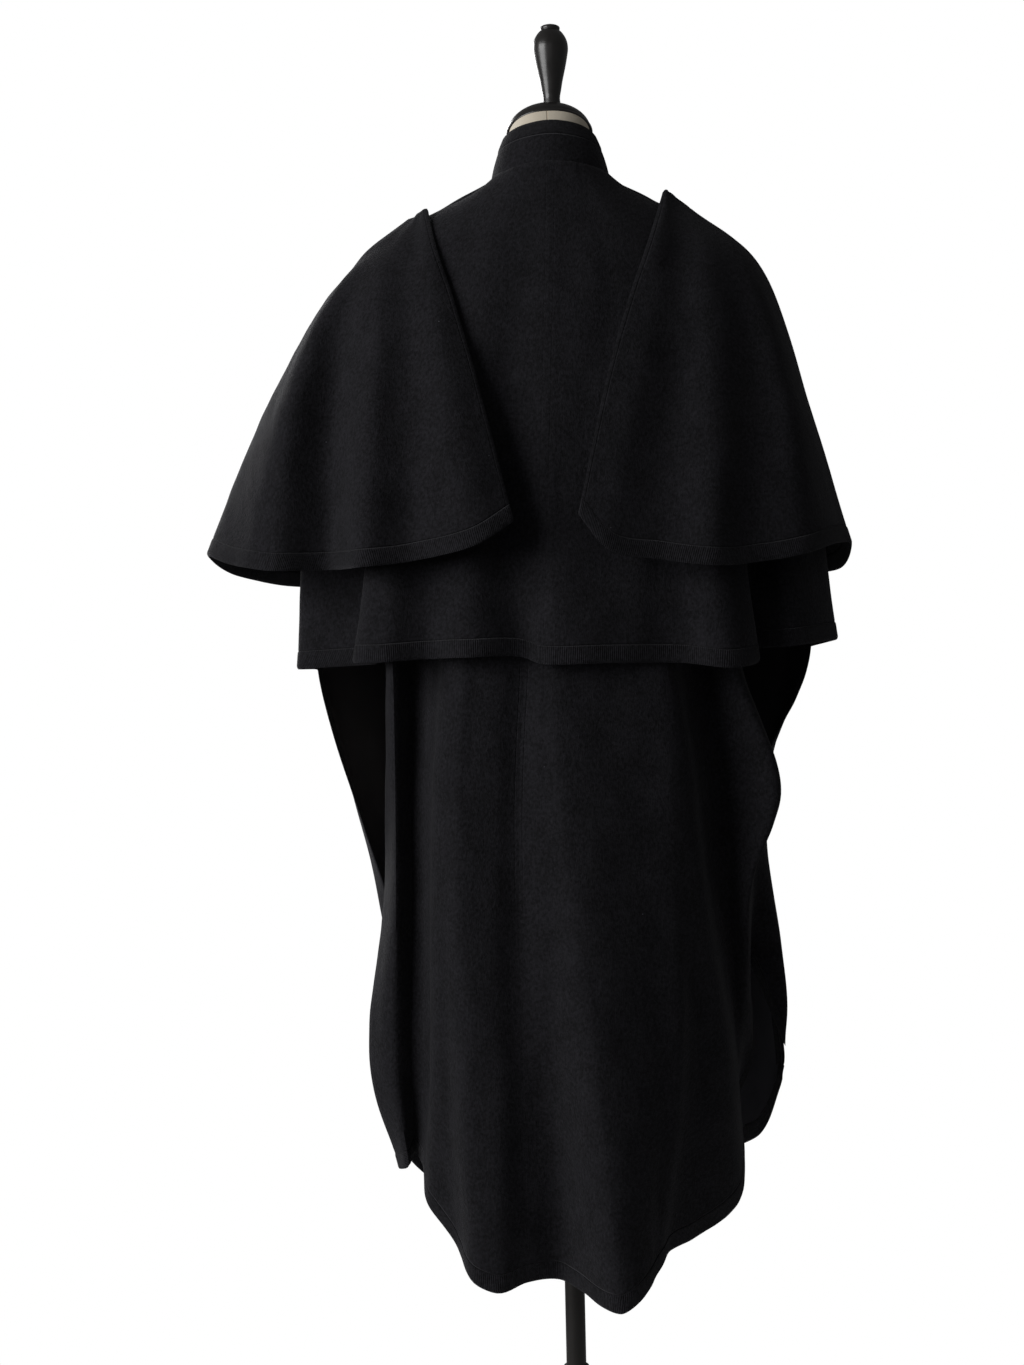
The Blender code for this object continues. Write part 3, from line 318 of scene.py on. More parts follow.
WING_LEFT = (
    Rib("back edge", (12.7, 2.2, 141.2), (11.4, 7.8, 135.0), (8.4, 12.9, 123.5), (4.8, 16.9, 107.9)),
    Rib("edge crest", (13.2, 1.9, 141.2), (13.0, 8.1, 134.6), (11.4, 14.0, 122.0), (8.6, 18.6, 105.6)),
    Rib("dip", (13.7, 1.6, 141.1), (15.0, 7.3, 134.6), (15.0, 12.2, 121.0), (15.0, 15.8, 104.3)),
    Rib("main crest", (14.1, 1.3, 141.0), (17.4, 7.0, 134.8), (18.9, 12.9, 121.0), (19.8, 16.8, 103.8)),
    Rib("valley", (14.5, 0.9, 140.9), (19.8, 5.0, 135.0), (22.8, 7.8, 121.0), (23.8, 10.6, 103.9)),
    Rib("outer crest", (14.7, 0.5, 140.8), (21.4, 3.6, 134.8), (27.0, 9.0, 121.5), (29.2, 12.2, 103.9)),
    Rib("tip rise", (14.8, 0.1, 140.8), (21.8, 1.4, 135.0), (29.0, 4.6, 122.0), (34.0, 7.0, 104.9)),
    Rib("tip", (14.8, -0.3, 140.8), (21.8, -0.6, 135.4), (30.2, -0.4, 122.2), (37.2, 0.2, 106.3)),
    Rib("roll", (14.7, -0.7, 140.8), (21.0, -3.2, 134.4), (28.4, -6.0, 121.0), (35.2, -11.0, 104.5)),
    Rib("trough", (14.4, -1.1, 140.9), (19.2, -6.0, 133.0), (23.6, -10.8, 119.0), (28.0, -15.4, 103.3)),
    Rib("crest", (14.0, -1.5, 141.0), (16.8, -8.6, 132.6), (18.2, -14.6, 119.0), (19.6, -20.2, 103.4)),
    Rib("dip", (13.5, -1.8, 141.1), (14.4, -9.6, 132.6), (14.4, -15.0, 119.0), (13.6, -18.6, 104.0)),
    Rib("front edge", (13.0, -2.1, 141.2), (12.2, -10.0, 133.0), (9.8, -15.6, 121.0), (7.2, -19.4, 107.4)),
)

WING_RIGHT = (
    Rib("back edge", (-11.5, 2.0, 142.5), (-9.2, 8.6, 135.6), (-5.4, 13.8, 123.8), (-1.7, 17.6, 108.4)),
    Rib("edge turn", (-12.1, 1.8, 143.1), (-11.0, 8.6, 135.2), (-8.0, 13.9, 122.0), (-4.6, 18.0, 104.9)),
    Rib("dip", (-12.6, 1.5, 143.1), (-13.0, 8.0, 135.2), (-11.6, 12.6, 121.0), (-9.6, 16.6, 103.9)),
    Rib("crest", (-13.2, 1.3, 142.6), (-15.6, 7.6, 135.4), (-15.8, 13.3, 121.0), (-14.8, 17.8, 103.2)),
    Rib("dip", (-13.8, 1.1, 142.2), (-17.8, 6.2, 135.4), (-19.2, 10.6, 121.0), (-18.6, 14.8, 103.4)),
    Rib("side crest", (-14.4, 0.8, 141.8), (-19.6, 4.8, 135.6), (-23.2, 10.0, 121.0), (-24.2, 14.0, 104.3)),
    Rib("side", (-14.8, 0.4, 141.5), (-21.0, 2.4, 135.6), (-25.6, 5.4, 121.0), (-28.2, 8.0, 105.6)),
    Rib("tip", (-15.0, 0.0, 141.4), (-21.6, 0.0, 135.8), (-26.6, 0.0, 121.0), (-31.0, 0.2, 105.9)),
    Rib("roll", (-14.9, -0.5, 141.4), (-21.0, -2.6, 134.8), (-25.6, -4.4, 120.0), (-30.6, -5.6, 103.7)),
    Rib("trough", (-14.6, -0.9, 141.4), (-19.4, -5.4, 133.6), (-22.8, -9.2, 119.0), (-26.0, -11.6, 103.4)),
    Rib("crest", (-14.2, -1.3, 141.4), (-17.0, -8.2, 132.8), (-18.6, -14.2, 119.0), (-20.2, -18.6, 103.2)),
    Rib("dip", (-13.6, -1.6, 141.5), (-14.4, -9.4, 132.8), (-13.8, -14.8, 119.0), (-13.4, -18.0, 103.8)),
    Rib("front edge", (-13.0, -1.9, 141.6), (-12.2, -9.9, 133.0), (-9.4, -15.5, 121.0), (-7.0, -19.2, 107.4)),
)


class CollarRow(NamedTuple):
    """Collar at one angle from the centre back: seam ring and top ring."""
    angle: float
    seam_x: float
    seam_y: float
    seam_z: float
    top_x: float
    top_y: float
    top_z: float


COLLAR = (
    CollarRow(0, 0.0, 6.3, 145.4, 0.1, 4.65, 150.3),
    CollarRow(30, 3.2, 5.5, 145.1, 2.45, 4.05, 150.1),
    CollarRow(60, 5.5, 3.1, 144.5, 4.15, 2.40, 149.7),
    CollarRow(90, 6.3, 0.0, 143.9, 4.75, 0.0, 149.3),
    CollarRow(120, 5.6, -3.2, 142.6, 4.20, -2.65, 148.4),
    CollarRow(150, 3.3, -5.6, 141.2, 2.50, -4.50, 147.5),
    CollarRow(179, 0.12, -6.5, 140.6, 0.10, -5.10, 147.1),
)


class Crease(NamedTuple):
    """A soft ridge or trough laid along a piece, placed by rib and by level.

    It runs from rib a at level start to rib b at level end; width is its half width
    in ribs, and height in millimetres is below zero for a trough.
    """
    a: float
    start: float
    b: float
    end: float
    width: float
    height: float


CREASES = {
    "back_left": (
        Crease(2.9, 0.64, 2.9, 1.02, 0.30, -2.4),
        Crease(2.2, 0.66, 2.1, 1.02, 0.26, 1.8),
        Crease(0.6, 0.72, 0.8, 1.02, 0.34, -1.6),
        Crease(6.0, 0.46, 6.0, 1.00, 0.45, -3.5),
        Crease(7.0, 0.46, 7.0, 0.96, 0.34, 2.0),
    ),
    "back_right": (
        Crease(2.0, 0.46, 2.1, 1.02, 0.34, 2.2),
        Crease(3.1, 0.50, 3.0, 0.98, 0.40, -1.2),
        Crease(4.3, 0.62, 3.7, 1.02, 0.30, -2.6),
        Crease(3.6, 0.72, 3.2, 1.02, 0.26, 1.2),
        Crease(8.0, 0.46, 8.0, 0.98, 0.45, -3.0),
        Crease(10.4, 0.62, 10.2, 0.90, 0.30, 1.6),
    ),
    "front_left": (
        Crease(1.5, 0.45, 1.8, 0.95, 0.40, 2.4),
        Crease(3.6, 0.35, 3.4, 1.02, 0.35, -2.2),
        Crease(4.6, 0.50, 4.7, 1.02, 0.30, 1.8),
        Crease(5.6, 0.55, 5.4, 0.95, 0.25, -1.6),
    ),
    "front_right": (
        Crease(2.5, 0.45, 2.7, 0.95, 0.40, 2.4),
        Crease(4.5, 0.38, 4.4, 1.02, 0.35, -2.2),
        Crease(5.5, 0.52, 5.6, 1.02, 0.30, 1.8),
        Crease(6.5, 0.50, 6.6, 0.92, 0.22, -1.6),
    ),
    "cape_left": (
        Crease(1.1, 0.60, 1.0, 1.02, 0.40, -1.5),
        Crease(2.1, 0.55, 2.0, 1.02, 0.36, 1.8),
        Crease(3.0, 0.50, 3.1, 1.02, 0.36, -2.0),
        Crease(4.2, 0.35, 4.1, 1.02, 0.30, 1.6),
        Crease(6.0, 0.40, 6.0, 1.02, 0.40, -3.0),
        Crease(7.5, 0.30, 7.6, 1.02, 0.30, 2.0),
        Crease(10.5, 0.45, 10.4, 1.02, 0.30, -2.5),
        Crease(11.4, 0.35, 11.6, 1.02, 0.26, 2.0),
    ),
    "cape_right": (
        Crease(1.0, 0.55, 1.0, 1.02, 0.36, 2.0),
        Crease(1.7, 0.16, 1.6, 0.70, 0.40, -2.2),
        Crease(2.6, 0.62, 2.5, 1.02, 0.30, 1.2),
        Crease(4.0, 0.56, 4.0, 1.02, 0.34, 2.2),
        Crease(6.0, 0.40, 6.0, 1.02, 0.40, -2.5),
        Crease(7.6, 0.35, 7.5, 1.02, 0.30, 1.8),
        Crease(10.4, 0.45, 10.6, 1.02, 0.30, -2.5),
        Crease(12.5, 0.38, 12.4, 1.02, 0.26, 2.0),
    ),
    "wing_left": (
        Crease(3.2, 0.24, 3.1, 0.92, 0.26, 2.4),
        Crease(4.0, 0.30, 4.0, 0.96, 0.36, -2.6),
        Crease(2.1, 0.30, 2.0, 0.96, 0.34, -1.8),
        Crease(1.2, 0.20, 1.1, 0.85, 0.30, 1.4),
        Crease(5.2, 0.40, 5.1, 1.02, 0.30, 1.6),
        Crease(8.5, 0.40, 8.6, 1.02, 0.30, 2.0),
        Crease(9.2, 0.45, 9.2, 1.02, 0.32, -3.0),
        Crease(10.3, 0.35, 10.4, 1.02, 0.34, 2.6),
    ),
    "wing_right": (
        Crease(2.0, 0.28, 2.1, 1.02, 0.36, -1.6),
        Crease(3.0, 0.26, 3.0, 0.92, 0.34, 2.0),
        Crease(4.0, 0.34, 4.0, 1.02, 0.34, -2.2),
        Crease(1.3, 0.55, 1.2, 1.02, 0.30, 1.0),
        Crease(6.4, 0.45, 6.4, 1.02, 0.30, 2.0),
        Crease(8.5, 0.42, 8.6, 1.02, 0.30, -2.4),
        Crease(9.8, 0.40, 9.9, 1.02, 0.34, 2.6),
        Crease(10.7, 0.45, 10.6, 1.02, 0.28, -2.0),
    ),
}


# ------------------------------------------------------------------- shapes

def spline(knots, points, samples):
    """Smooth curve through points placed at knots, read at samples; arrays in and out."""
    knots = np.asarray(knots, dtype=float)
    samples = np.asarray(samples, dtype=float)
    shape = (-1,) + (1,) * (points.ndim - 1)
    span = np.diff(knots).reshape(shape)
    rate = np.diff(points, axis=0) / span
    slope = np.empty_like(points)
    slope[0], slope[-1] = rate[0], rate[-1]
    slope[1:-1] = (rate[:-1] * span[1:] + rate[1:] * span[:-1]) / (span[:-1] + span[1:])
    k = np.clip(np.searchsorted(knots, samples, side="right") - 1, 0, len(knots) - 2)
    f = ((samples - knots[k]) / np.diff(knots)[k]).reshape(shape)
    width = span[k]
    return (points[k] * (2 * f ** 3 - 3 * f ** 2 + 1)
            + slope[k] * width * (f ** 3 - 2 * f ** 2 + f)
            + points[k + 1] * (3 * f ** 2 - 2 * f ** 3)
            + slope[k + 1] * width * (f ** 3 - f ** 2))


def shoulder_seam(x, side):
    """The shoulder seam at x, on the back (1) or the front (-1) of its gap."""
    along = abs(x) - SHOULDER_START[0]
    height = SHOULDER_START[1] - SHOULDER_FALL * along - SHOULDER_ROUND * along ** 2
    return (x, side * SEAM_GAP / 2 / CM, height)


def rib_points(rib):
    """The points of a rib in metres, top to hem; a bare top is an x on the shoulder seam."""
    if isinstance(rib, LongRib):
        plans = ((rib.hip, HIP_Z), (rib.seat, SEAT_Z), (rib.thigh, THIGH_Z), (rib.knee, KNEE_Z))
        levels = [(*plan, height)[:3] for plan, height in plans]
        side = 1 if rib.chest[1] > 0 else -1
        top = rib.top if isinstance(rib.top, tuple) else shoulder_seam(rib.top, side)
        places = (top, rib.chest, *levels, rib.hem)
    else:
        places = (rib.top, rib.shoulder, rib.fall, rib.hem)
    return np.array(places, dtype=float) * CM


def smooth_step(x):
    x = np.clip(x, 0.0, 1.0)
    return x * x * (3 - 2 * x)


def cloth_grid(ribs, knots, rows):
    """(columns, rows, 3) points of a piece, and each column's place in ribs and level of each row."""
    places = np.stack([rib_points(rib) for rib in ribs])
    hems = places[:, -1]
    steps = np.linalg.norm(np.diff(hems, axis=0), axis=1)
    across = np.concatenate([[0.0], np.cumsum(np.maximum(steps, 0.002) ** 0.5)])
    across /= across[-1]
    rib_at = []
    for i, step in enumerate(steps):
        count = max(4, int(round(step / ACROSS_STEP)))
        rib_at += [i + n / count for n in range(count)]
    rib_at.append(len(ribs) - 1.0)
    rib_at = np.array(rib_at)
    samples = np.interp(rib_at, range(len(ribs)), across)
    length = np.linalg.norm(np.diff(places, axis=1), axis=2).sum(axis=1).mean()
    near_hem = 1.0 - np.array(HEM_ROWS[::-1]) / length
    plain = np.linspace(0.0, near_hem[0], rows + 1)[:-1]
    levels = np.concatenate([plain, near_hem])
    columns = spline(knots, places.transpose(1, 0, 2), levels)
    grid = spline(across, columns.transpose(1, 0, 2), samples)
    return grid, rib_at, levels


def grid_normals(grid):
    across = np.gradient(grid, axis=0)
    down = np.gradient(grid, axis=1)
    normals = np.cross(across, down)
    return normals / np.linalg.norm(normals, axis=2, keepdims=True)


def lengths_along(grid, axis):
    """Distance travelled along one axis of a grid of points, from its start."""
    step = np.linalg.norm(np.diff(grid, axis=axis), axis=2)
    pad = [(0, 0), (0, 0)]
    pad[axis] = (1, 0)
    return np.cumsum(np.pad(step, pad), axis=axis)


def spread_max(values, reach):
    """The largest value within reach cells of each cell."""
    result = values
    for axis in (0, 1):
        for _ in range(reach):
            padded = np.pad(result, [(1, 1) if a == axis else (0, 0) for a in (0, 1)], mode="edge")
            lower = np.take(padded, range(0, result.shape[axis]), axis=axis)
            upper = np.take(padded, range(2, result.shape[axis] + 2), axis=axis)
            result = np.maximum(result, np.maximum(lower, upper))
    return result


def soften(values, rounds):
    """Averages each cell of a grid with its neighbours, a number of times."""
    result = values
    for _ in range(rounds):
        for axis in (0, 1):
            width = [(1, 1) if a == axis else (0, 0) for a in range(result.ndim)]
            padded = np.pad(result, width, mode="edge")
            lower = np.take(padded, range(0, result.shape[axis]), axis=axis)
            upper = np.take(padded, range(2, result.shape[axis] + 2), axis=axis)
            result = (lower + 2 * result + upper) / 4
    return result


def last_hit(tree, start, direction, limit):
    """Distance of the farthest face that a ray meets before its limit, or 0."""
    travelled, farthest = 0.0, 0.0
    while travelled < limit:
        place, _, _, distance = tree.ray_cast(start + direction * travelled, direction, limit - travelled)
        if place is None:
            break
        travelled += distance + 0.0001
        farthest = travelled
    return farthest


def push_clear(grid, trees, gap, reach=0.03):
    """Moves a grid out from the body's spine until it clears every tree by gap."""
    spine = np.stack([grid[..., 0] * 0.45, np.zeros(grid.shape[:2]), np.minimum(grid[..., 2], 1.28)], axis=2)
    away = grid - spine
    distance = np.linalg.norm(away, axis=2)
    away /= distance[..., None]
    short = np.zeros(grid.shape[:2])
    for i, j in np.ndindex(short.shape):
        start, direction = Vector(spine[i, j]), Vector(away[i, j])
        farthest = max(last_hit(tree, start, direction, distance[i, j] + reach) for tree in trees)
        if farthest > 0.0:
            short[i, j] = max(0.0, farthest + gap - distance[i, j])
    if short.max() == 0.0:
        return grid
    lift = soften(spread_max(short, 4), 4)
    return grid + away * lift[..., None]


def crease_heights(creases, rib_at, levels):
    """Height of a piece's creases, in metres, at each of its points."""
    rib, level = np.meshgrid(rib_at, levels, indexing="ij")
    height = np.zeros(rib.shape)
    for crease in creases:
        f = (level - crease.start) / (crease.end - crease.start)
        middle = crease.a + (crease.b - crease.a) * f
        across = (rib - middle) / crease.width
        taper = smooth_step(f / 0.35) * (1.0 if crease.end > 1.0 else smooth_step((1.0 - f) / 0.35))
        height += crease.height * MM * np.exp(-across ** 2) * taper * (f > 0.0)
    return height


def unevenness(grid, strength):
    """Slight hand-made waviness of heavy wool, from a few crossing waves in space."""
    x, y, z = grid[..., 0], grid[..., 1], grid[..., 2]
    waves = (
        (0.62, 58.0, 21.0, 11.0, 0.4),
        (0.50, -83.0, 47.0, 17.0, 1.9),
        (0.38, 131.0, -64.0, 29.0, 3.1),
        (0.24, 74.0, 96.0, -61.0, 5.2),
        (0.18, -190.0, 118.0, 83.0, 0.9),
        (0.12, 263.0, 171.0, -140.0, 2.6),
    )
    total = sum(size * np.sin(a * x + b * y + c * z + phase) for size, a, b, c, phase in waves)
    return total * strength


# ------------------------------------------------------------------- meshes

def new_object(name, vertices, faces, materials, face_material=None):
    mesh = bpy.data.meshes.new(name)
    mesh.from_pydata([tuple(v) for v in vertices], [], faces)
    for material in materials:
        mesh.materials.append(material)
    if face_material is not None:
        mesh.polygons.foreach_set("material_index", face_material)
    mesh.polygons.foreach_set("use_smooth", [True] * len(mesh.polygons))
    mesh.update()
    piece = bpy.data.objects.new(name, mesh)
    bpy.context.collection.objects.link(piece)
    return piece


def add_attribute(piece, name, values):
    attribute = piece.data.attributes.new(name, "FLOAT", "POINT")
    attribute.data.foreach_set("value", np.asarray(values, dtype=np.float32))


def shell(name, grid, normals, thickness, materials, out=1, seam_side=False, lining_from=None):
    """A closed sheet round a grid, with rolled edges and a swollen hem band.

    The outer skin takes the first material.  With lining_from, the inner skin takes
    the second one farther than that from its side edge.
    """
    columns, rows = grid.shape[:2]
    across = lengths_along(grid, 0)
    down = lengths_along(grid, 1)
    from_hem = down[:, -1:] - down
    from_first = across
    from_last = across[-1:] - across
    if seam_side:
        from_side = from_last
        from_seam = from_first
    else:
        from_side = np.minimum(from_first, from_last)
        from_seam = np.full(grid.shape[:2], 1.0)
    band = 1.0 - smooth_step((from_hem - HEM_BAND + 0.001) / 0.002)
    groove = np.exp(-((from_hem - HEM_BAND) / 0.0009) ** 2)
    edge = 1.0 - smooth_step(from_hem / 0.0022)
    half = thickness / 2 + (band * HEM_SWELL - groove * 0.0005 - edge * 0.0007)
    side_edge = 1.0 - smooth_step(from_side / 0.004)
    half = half - side_edge * 0.0004
    outer = grid + normals * (out * half)[..., None]
    inner = grid - normals * (out * half)[..., None]
    outer_index = np.arange(columns * rows).reshape(columns, rows)
    inner_index = outer_index + columns * rows

    faces, face_material = [], []
    for skin, turn in ((outer_index, out), (inner_index, -out)):
        quads = np.stack([skin[:-1, :-1], skin[1:, :-1], skin[1:, 1:], skin[:-1, 1:]], axis=2).reshape(-1, 4)
        if turn < 0:
            quads = quads[:, ::-1]
        faces += quads.tolist()
        if skin is inner_index and lining_from is not None:
            middle = (from_side[:-1, :-1] + from_side[1:, 1:]) / 2
            low = (from_hem[:-1, :-1] + from_hem[1:, 1:]) / 2
            lined = (middle > lining_from) & (low > HEM_BAND)
            face_material += lined.astype(int).reshape(-1).tolist()
        else:
            face_material += [0] * len(quads)

    def edge_loop(index):
        return np.concatenate([index[:, 0], index[-1, 1:], index[-2::-1, -1], index[0, -2:0:-1]])

    outer_loop, inner_loop = edge_loop(outer_index), edge_loop(inner_index)
    centre = np.concatenate([grid[:, 0], grid[-1, 1:], grid[-2::-1, -1], grid[0, -2:0:-1]])
    inward = np.concatenate([
        grid[:, 1] - grid[:, 0],
        grid[-2, 1:] - grid[-1, 1:],
        grid[-2::-1, -2] - grid[-2::-1, -1],
        grid[1, -2:0:-1] - grid[0, -2:0:-1],
    ])
    inward /= np.maximum(np.linalg.norm(inward, axis=1, keepdims=True), 1e-9)
    roll = np.full(len(centre), EDGE_ROLL)
    if seam_side:
        roll[columns + rows - 1 + columns - 1:] = 0.0
    rim = centre - inward * roll[:, None]
    rim_index = np.arange(len(rim)) + 2 * columns * rows
    following = np.roll(np.arange(len(rim)), -1)
    for upper, lower in ((outer_loop, rim_index), (rim_index, inner_loop)):
        strip = np.stack([upper, lower, lower[following], upper[following]], axis=1)
        if out < 0:
            strip = strip[:, ::-1]
        faces += strip.tolist()
        face_material += [0] * len(strip)

    vertices = np.concatenate([outer.reshape(-1, 3), inner.reshape(-1, 3), rim])
    piece = new_object(name, vertices, faces, materials, face_material)
    piece.data.set_sharp_from_angle(angle=SHARP_EDGE)

    def everywhere(values):
        flat = values.reshape(-1)
        loop = values.reshape(-1)[outer_loop]
        return np.concatenate([flat, flat, loop])

    add_attribute(piece, "from_hem", everywhere(from_hem))
    add_attribute(piece, "from_side", everywhere(from_side))
    add_attribute(piece, "from_seam", everywhere(from_seam))
    add_attribute(piece, "across", everywhere(across))
    add_attribute(piece, "down", everywhere(down))
    return piece


def lathe(name, profile, sides, material, foot_slope=0.0, sharp=30.0):
    """Turned solid about Z from (radius, height) pairs, closed at both ends."""
    angles = [2 * pi * k / sides for k in range(sides)]
    vertices = []
    for row, (radius, height) in enumerate(profile):
        for angle in angles:
            y = radius * cos(angle)
            slope = foot_slope * y if row == 0 else 0.0
            vertices.append((radius * sin(angle), y, height + slope))
    faces = []
    for row in range(len(profile) - 1):
        for k in range(sides):
            n = (k + 1) % sides
            a, b = row * sides, (row + 1) * sides
            faces.append((a + k, b + k, b + n, a + n))
    faces.append(tuple(range(sides)))
    faces.append(tuple(reversed(range(len(vertices) - sides, len(vertices)))))
    piece = new_object(name, vertices, faces, [material])
    piece.data.set_sharp_from_angle(angle=radians(sharp))
    return piece


def tree_of(piece):
    corners = [vertex.co for vertex in piece.data.vertices]
    return BVHTree.FromPolygons(corners, [tuple(face.vertices) for face in piece.data.polygons])


# ---------------------------------------------------------------- materials

def node(tree, kind, links=(), **settings):
    """A shader node; links pairs an input with an output, settings set its properties."""
    made = tree.nodes.new(kind)
    for name, value in settings.items():
        setattr(made, name, value)
    for socket, source in links:
        if hasattr(source, "is_output"):
            tree.links.new(source, made.inputs[socket])
        else:
            made.inputs[socket].default_value = source
    return made


def maths(tree, operation, a, b=0.0, c=0.0, clamp=False):
    made = node(tree, "ShaderNodeMath", ((0, a), (1, b), (2, c)), operation=operation, use_clamp=clamp)
    return made.outputs[0]


def attribute(tree, name):
    return node(tree, "ShaderNodeAttribute", attribute_name=name).outputs["Fac"]


def new_material(name, colour, roughness, metallic=0.0):
    material = bpy.data.materials.new(name)
    material.use_nodes = True
    shader = material.node_tree.nodes["Principled BSDF"]
    shader.inputs["Base Color"].default_value = (*colour, 1.0)
    shader.inputs["Roughness"].default_value = roughness
    shader.inputs["Metallic"].default_value = metallic
    material.diffuse_color = (*colour, 1.0)
    return material, material.node_tree, shader


def wool_material(name="black_wool", dark=(0.0036, 0.0034, 0.0044), light=(0.0150, 0.0144, 0.0178),
        stitched=True):
    """Napped black coating: mottled fibre, a soft sheen, stitched hem bands and lint."""
    material, tree, shader = new_material(name, light, 0.92)
    shader.inputs["Sheen Weight"].default_value = 0.06
    shader.inputs["Sheen Roughness"].default_value = 0.45
    shader.inputs["Sheen Tint"].default_value = (0.86, 0.86, 0.92, 1.0)
    shader.inputs["Specular IOR Level"].default_value = 0.18
    place = node(tree, "ShaderNodeTexCoord").outputs["Object"]
    drift = node(tree, "ShaderNodeTexNoise",
                 (("Vector", place), ("Scale", 34.0), ("Detail", 2.0), ("Roughness", 0.5))).outputs["Fac"]
    fleck = node(tree, "ShaderNodeTexNoise",
                 (("Vector", place), ("Scale", 300.0), ("Detail", 3.0), ("Roughness", 0.62))).outputs["Fac"]
    fibre_place = node(tree, "ShaderNodeMapping", (("Vector", place),
        ("Scale", (900.0, 900.0, 240.0)))).outputs[0]
    fibre = node(tree, "ShaderNodeTexNoise",
                 (("Vector", fibre_place), ("Scale", 1.0), ("Detail", 2.0),
                     ("Distortion", 0.8))).outputs["Fac"]
    mottle = maths(tree, "MULTIPLY_ADD", fleck, 2.6, -1.3 - 0.4 - 0.4 + 0.45)
    mottle = maths(tree, "MULTIPLY_ADD", drift, 0.8, mottle)
    mottle = maths(tree, "MULTIPLY_ADD", fibre, 0.8, mottle, clamp=True)
    cells = node(tree, "ShaderNodeTexVoronoi", (("Vector", place), ("Scale", 42.0)))
    speck = maths(tree, "LESS_THAN", cells.outputs["Distance"], 0.022)
    rare = maths(tree, "GREATER_THAN",
                 node(tree, "ShaderNodeSeparateColor", (("Color",
                     cells.outputs["Color"]),)).outputs["Red"], 0.93)
    lint = maths(tree, "MULTIPLY", speck, rare)
    cloth = node(tree, "ShaderNodeMix", ((0, mottle), (6, (*dark, 1.0)), (7, (*light, 1.0))),
                 data_type="RGBA").outputs[2]
    colour = node(tree, "ShaderNodeMix", ((0, lint), (6, cloth), (7, (0.10, 0.10, 0.12, 1.0))),
                  data_type="RGBA").outputs[2]
    tree.links.new(colour, shader.inputs["Base Color"])

    height = maths(tree, "MULTIPLY_ADD", fleck, 0.55, maths(tree, "MULTIPLY", fibre, 0.35))
    if stitched:
        from_hem = attribute(tree, "from_hem")
        from_side = attribute(tree, "from_side")
        from_seam = attribute(tree, "from_seam")
        across = attribute(tree, "across")
        down = attribute(tree, "down")
        whip = whip_stitches(tree, from_hem, across)
        edge_line = thin_groove(tree, from_side, EDGE_STITCH, -0.35)
        topstitch = top_stitches(tree, from_seam, down)
        height = maths(tree, "ADD", height, maths(tree, "ADD", whip,
            maths(tree, "ADD", edge_line, topstitch)))
    bump = node(tree, "ShaderNodeBump", (("Strength", 0.85), ("Distance", 0.0023), ("Height", height)))
    tree.links.new(bump.outputs[0], shader.inputs["Normal"])
    return material


STITCH_PITCH = 0.0021
EDGE_STITCH = 0.0035
TOPSTITCH_OFFSET = 0.0042
TOPSTITCH_PITCH = 0.0036


def thin_groove(tree, distance, place, depth):
    """A fine groove of the given depth at one distance from an edge."""
    off = maths(tree, "ABSOLUTE", maths(tree, "SUBTRACT", distance, place))
    line = maths(tree, "SUBTRACT", 1.0, maths(tree, "DIVIDE", off, 0.0010), clamp=True)
    return maths(tree, "MULTIPLY", line, depth)


def whip_stitches(tree, distance, along):
    """Close upright stitches inside an edge band, with the groove of its stitched line."""
    in_band = maths(tree, "LESS_THAN", distance, HEM_BAND)
    wave = maths(tree, "SINE", maths(tree, "MULTIPLY", along, 2 * pi / STITCH_PITCH))
    ribs = maths(tree, "MULTIPLY", maths(tree, "MULTIPLY", wave, in_band), 0.16)
    return maths(tree, "ADD", ribs, thin_groove(tree, distance, HEM_BAND, -0.9))


def top_stitches(tree, distance, along):
    """A row of small stitches beside the long back's seam, from the cape's hem to the seat."""
    line = thin_groove(tree, distance, TOPSTITCH_OFFSET, -0.45)
    wave = maths(tree, "SINE", maths(tree, "MULTIPLY", along, 2 * pi / TOPSTITCH_PITCH))
    dashes = maths(tree, "MULTIPLY_ADD", wave, 0.35, 0.75)
    place = node(tree, "ShaderNodeTexCoord").outputs["Object"]
    height = node(tree, "ShaderNodeSeparateXYZ", (("Vector", place),)).outputs["Z"]
    low = node(tree, "ShaderNodeMapRange", (("Value", height), ("From Min", 0.66),
        ("From Max", 0.84))).outputs[0]
    high = node(tree, "ShaderNodeMapRange",
                (("Value", height), ("From Min", 0.93), ("From Max", 0.94), ("To Min", 1.0),
                    ("To Max", 0.3))).outputs[0]
    shown = maths(tree, "MULTIPLY", low, high)
    return maths(tree, "MULTIPLY", maths(tree, "MULTIPLY", line, dashes), shown)


def lining_material():
    """Smooth dark inner cloth of the long fronts."""
    material, tree, shader = new_material("dark_lining", (0.026, 0.025, 0.030), 0.55)
    shader.inputs["Specular IOR Level"].default_value = 0.22
    place = node(tree, "ShaderNodeTexCoord").outputs["Object"]
    stretched = node(tree, "ShaderNodeMapping", (("Vector", place),
        ("Scale", (1500.0, 1500.0, 1500.0)))).outputs[0]
    weave = node(tree, "ShaderNodeTexNoise", (("Vector", stretched), ("Scale", 1.0),
        ("Detail", 1.0))).outputs["Fac"]
    cloudy = node(tree, "ShaderNodeTexNoise", (("Vector", place), ("Scale", 18.0),
        ("Detail", 3.0))).outputs["Fac"]
    tint = node(tree, "ShaderNodeMix", ((0, cloudy), (6, (0.0200, 0.0195, 0.0235, 1.0)),
                                        (7, (0.0360, 0.0350, 0.0420, 1.0))), data_type="RGBA").outputs[2]
    tree.links.new(tint, shader.inputs["Base Color"])
    bump = node(tree, "ShaderNodeBump", (("Strength", 0.25), ("Distance", 0.0003), ("Height", weave)))
    tree.links.new(bump.outputs[0], shader.inputs["Normal"])
    return material


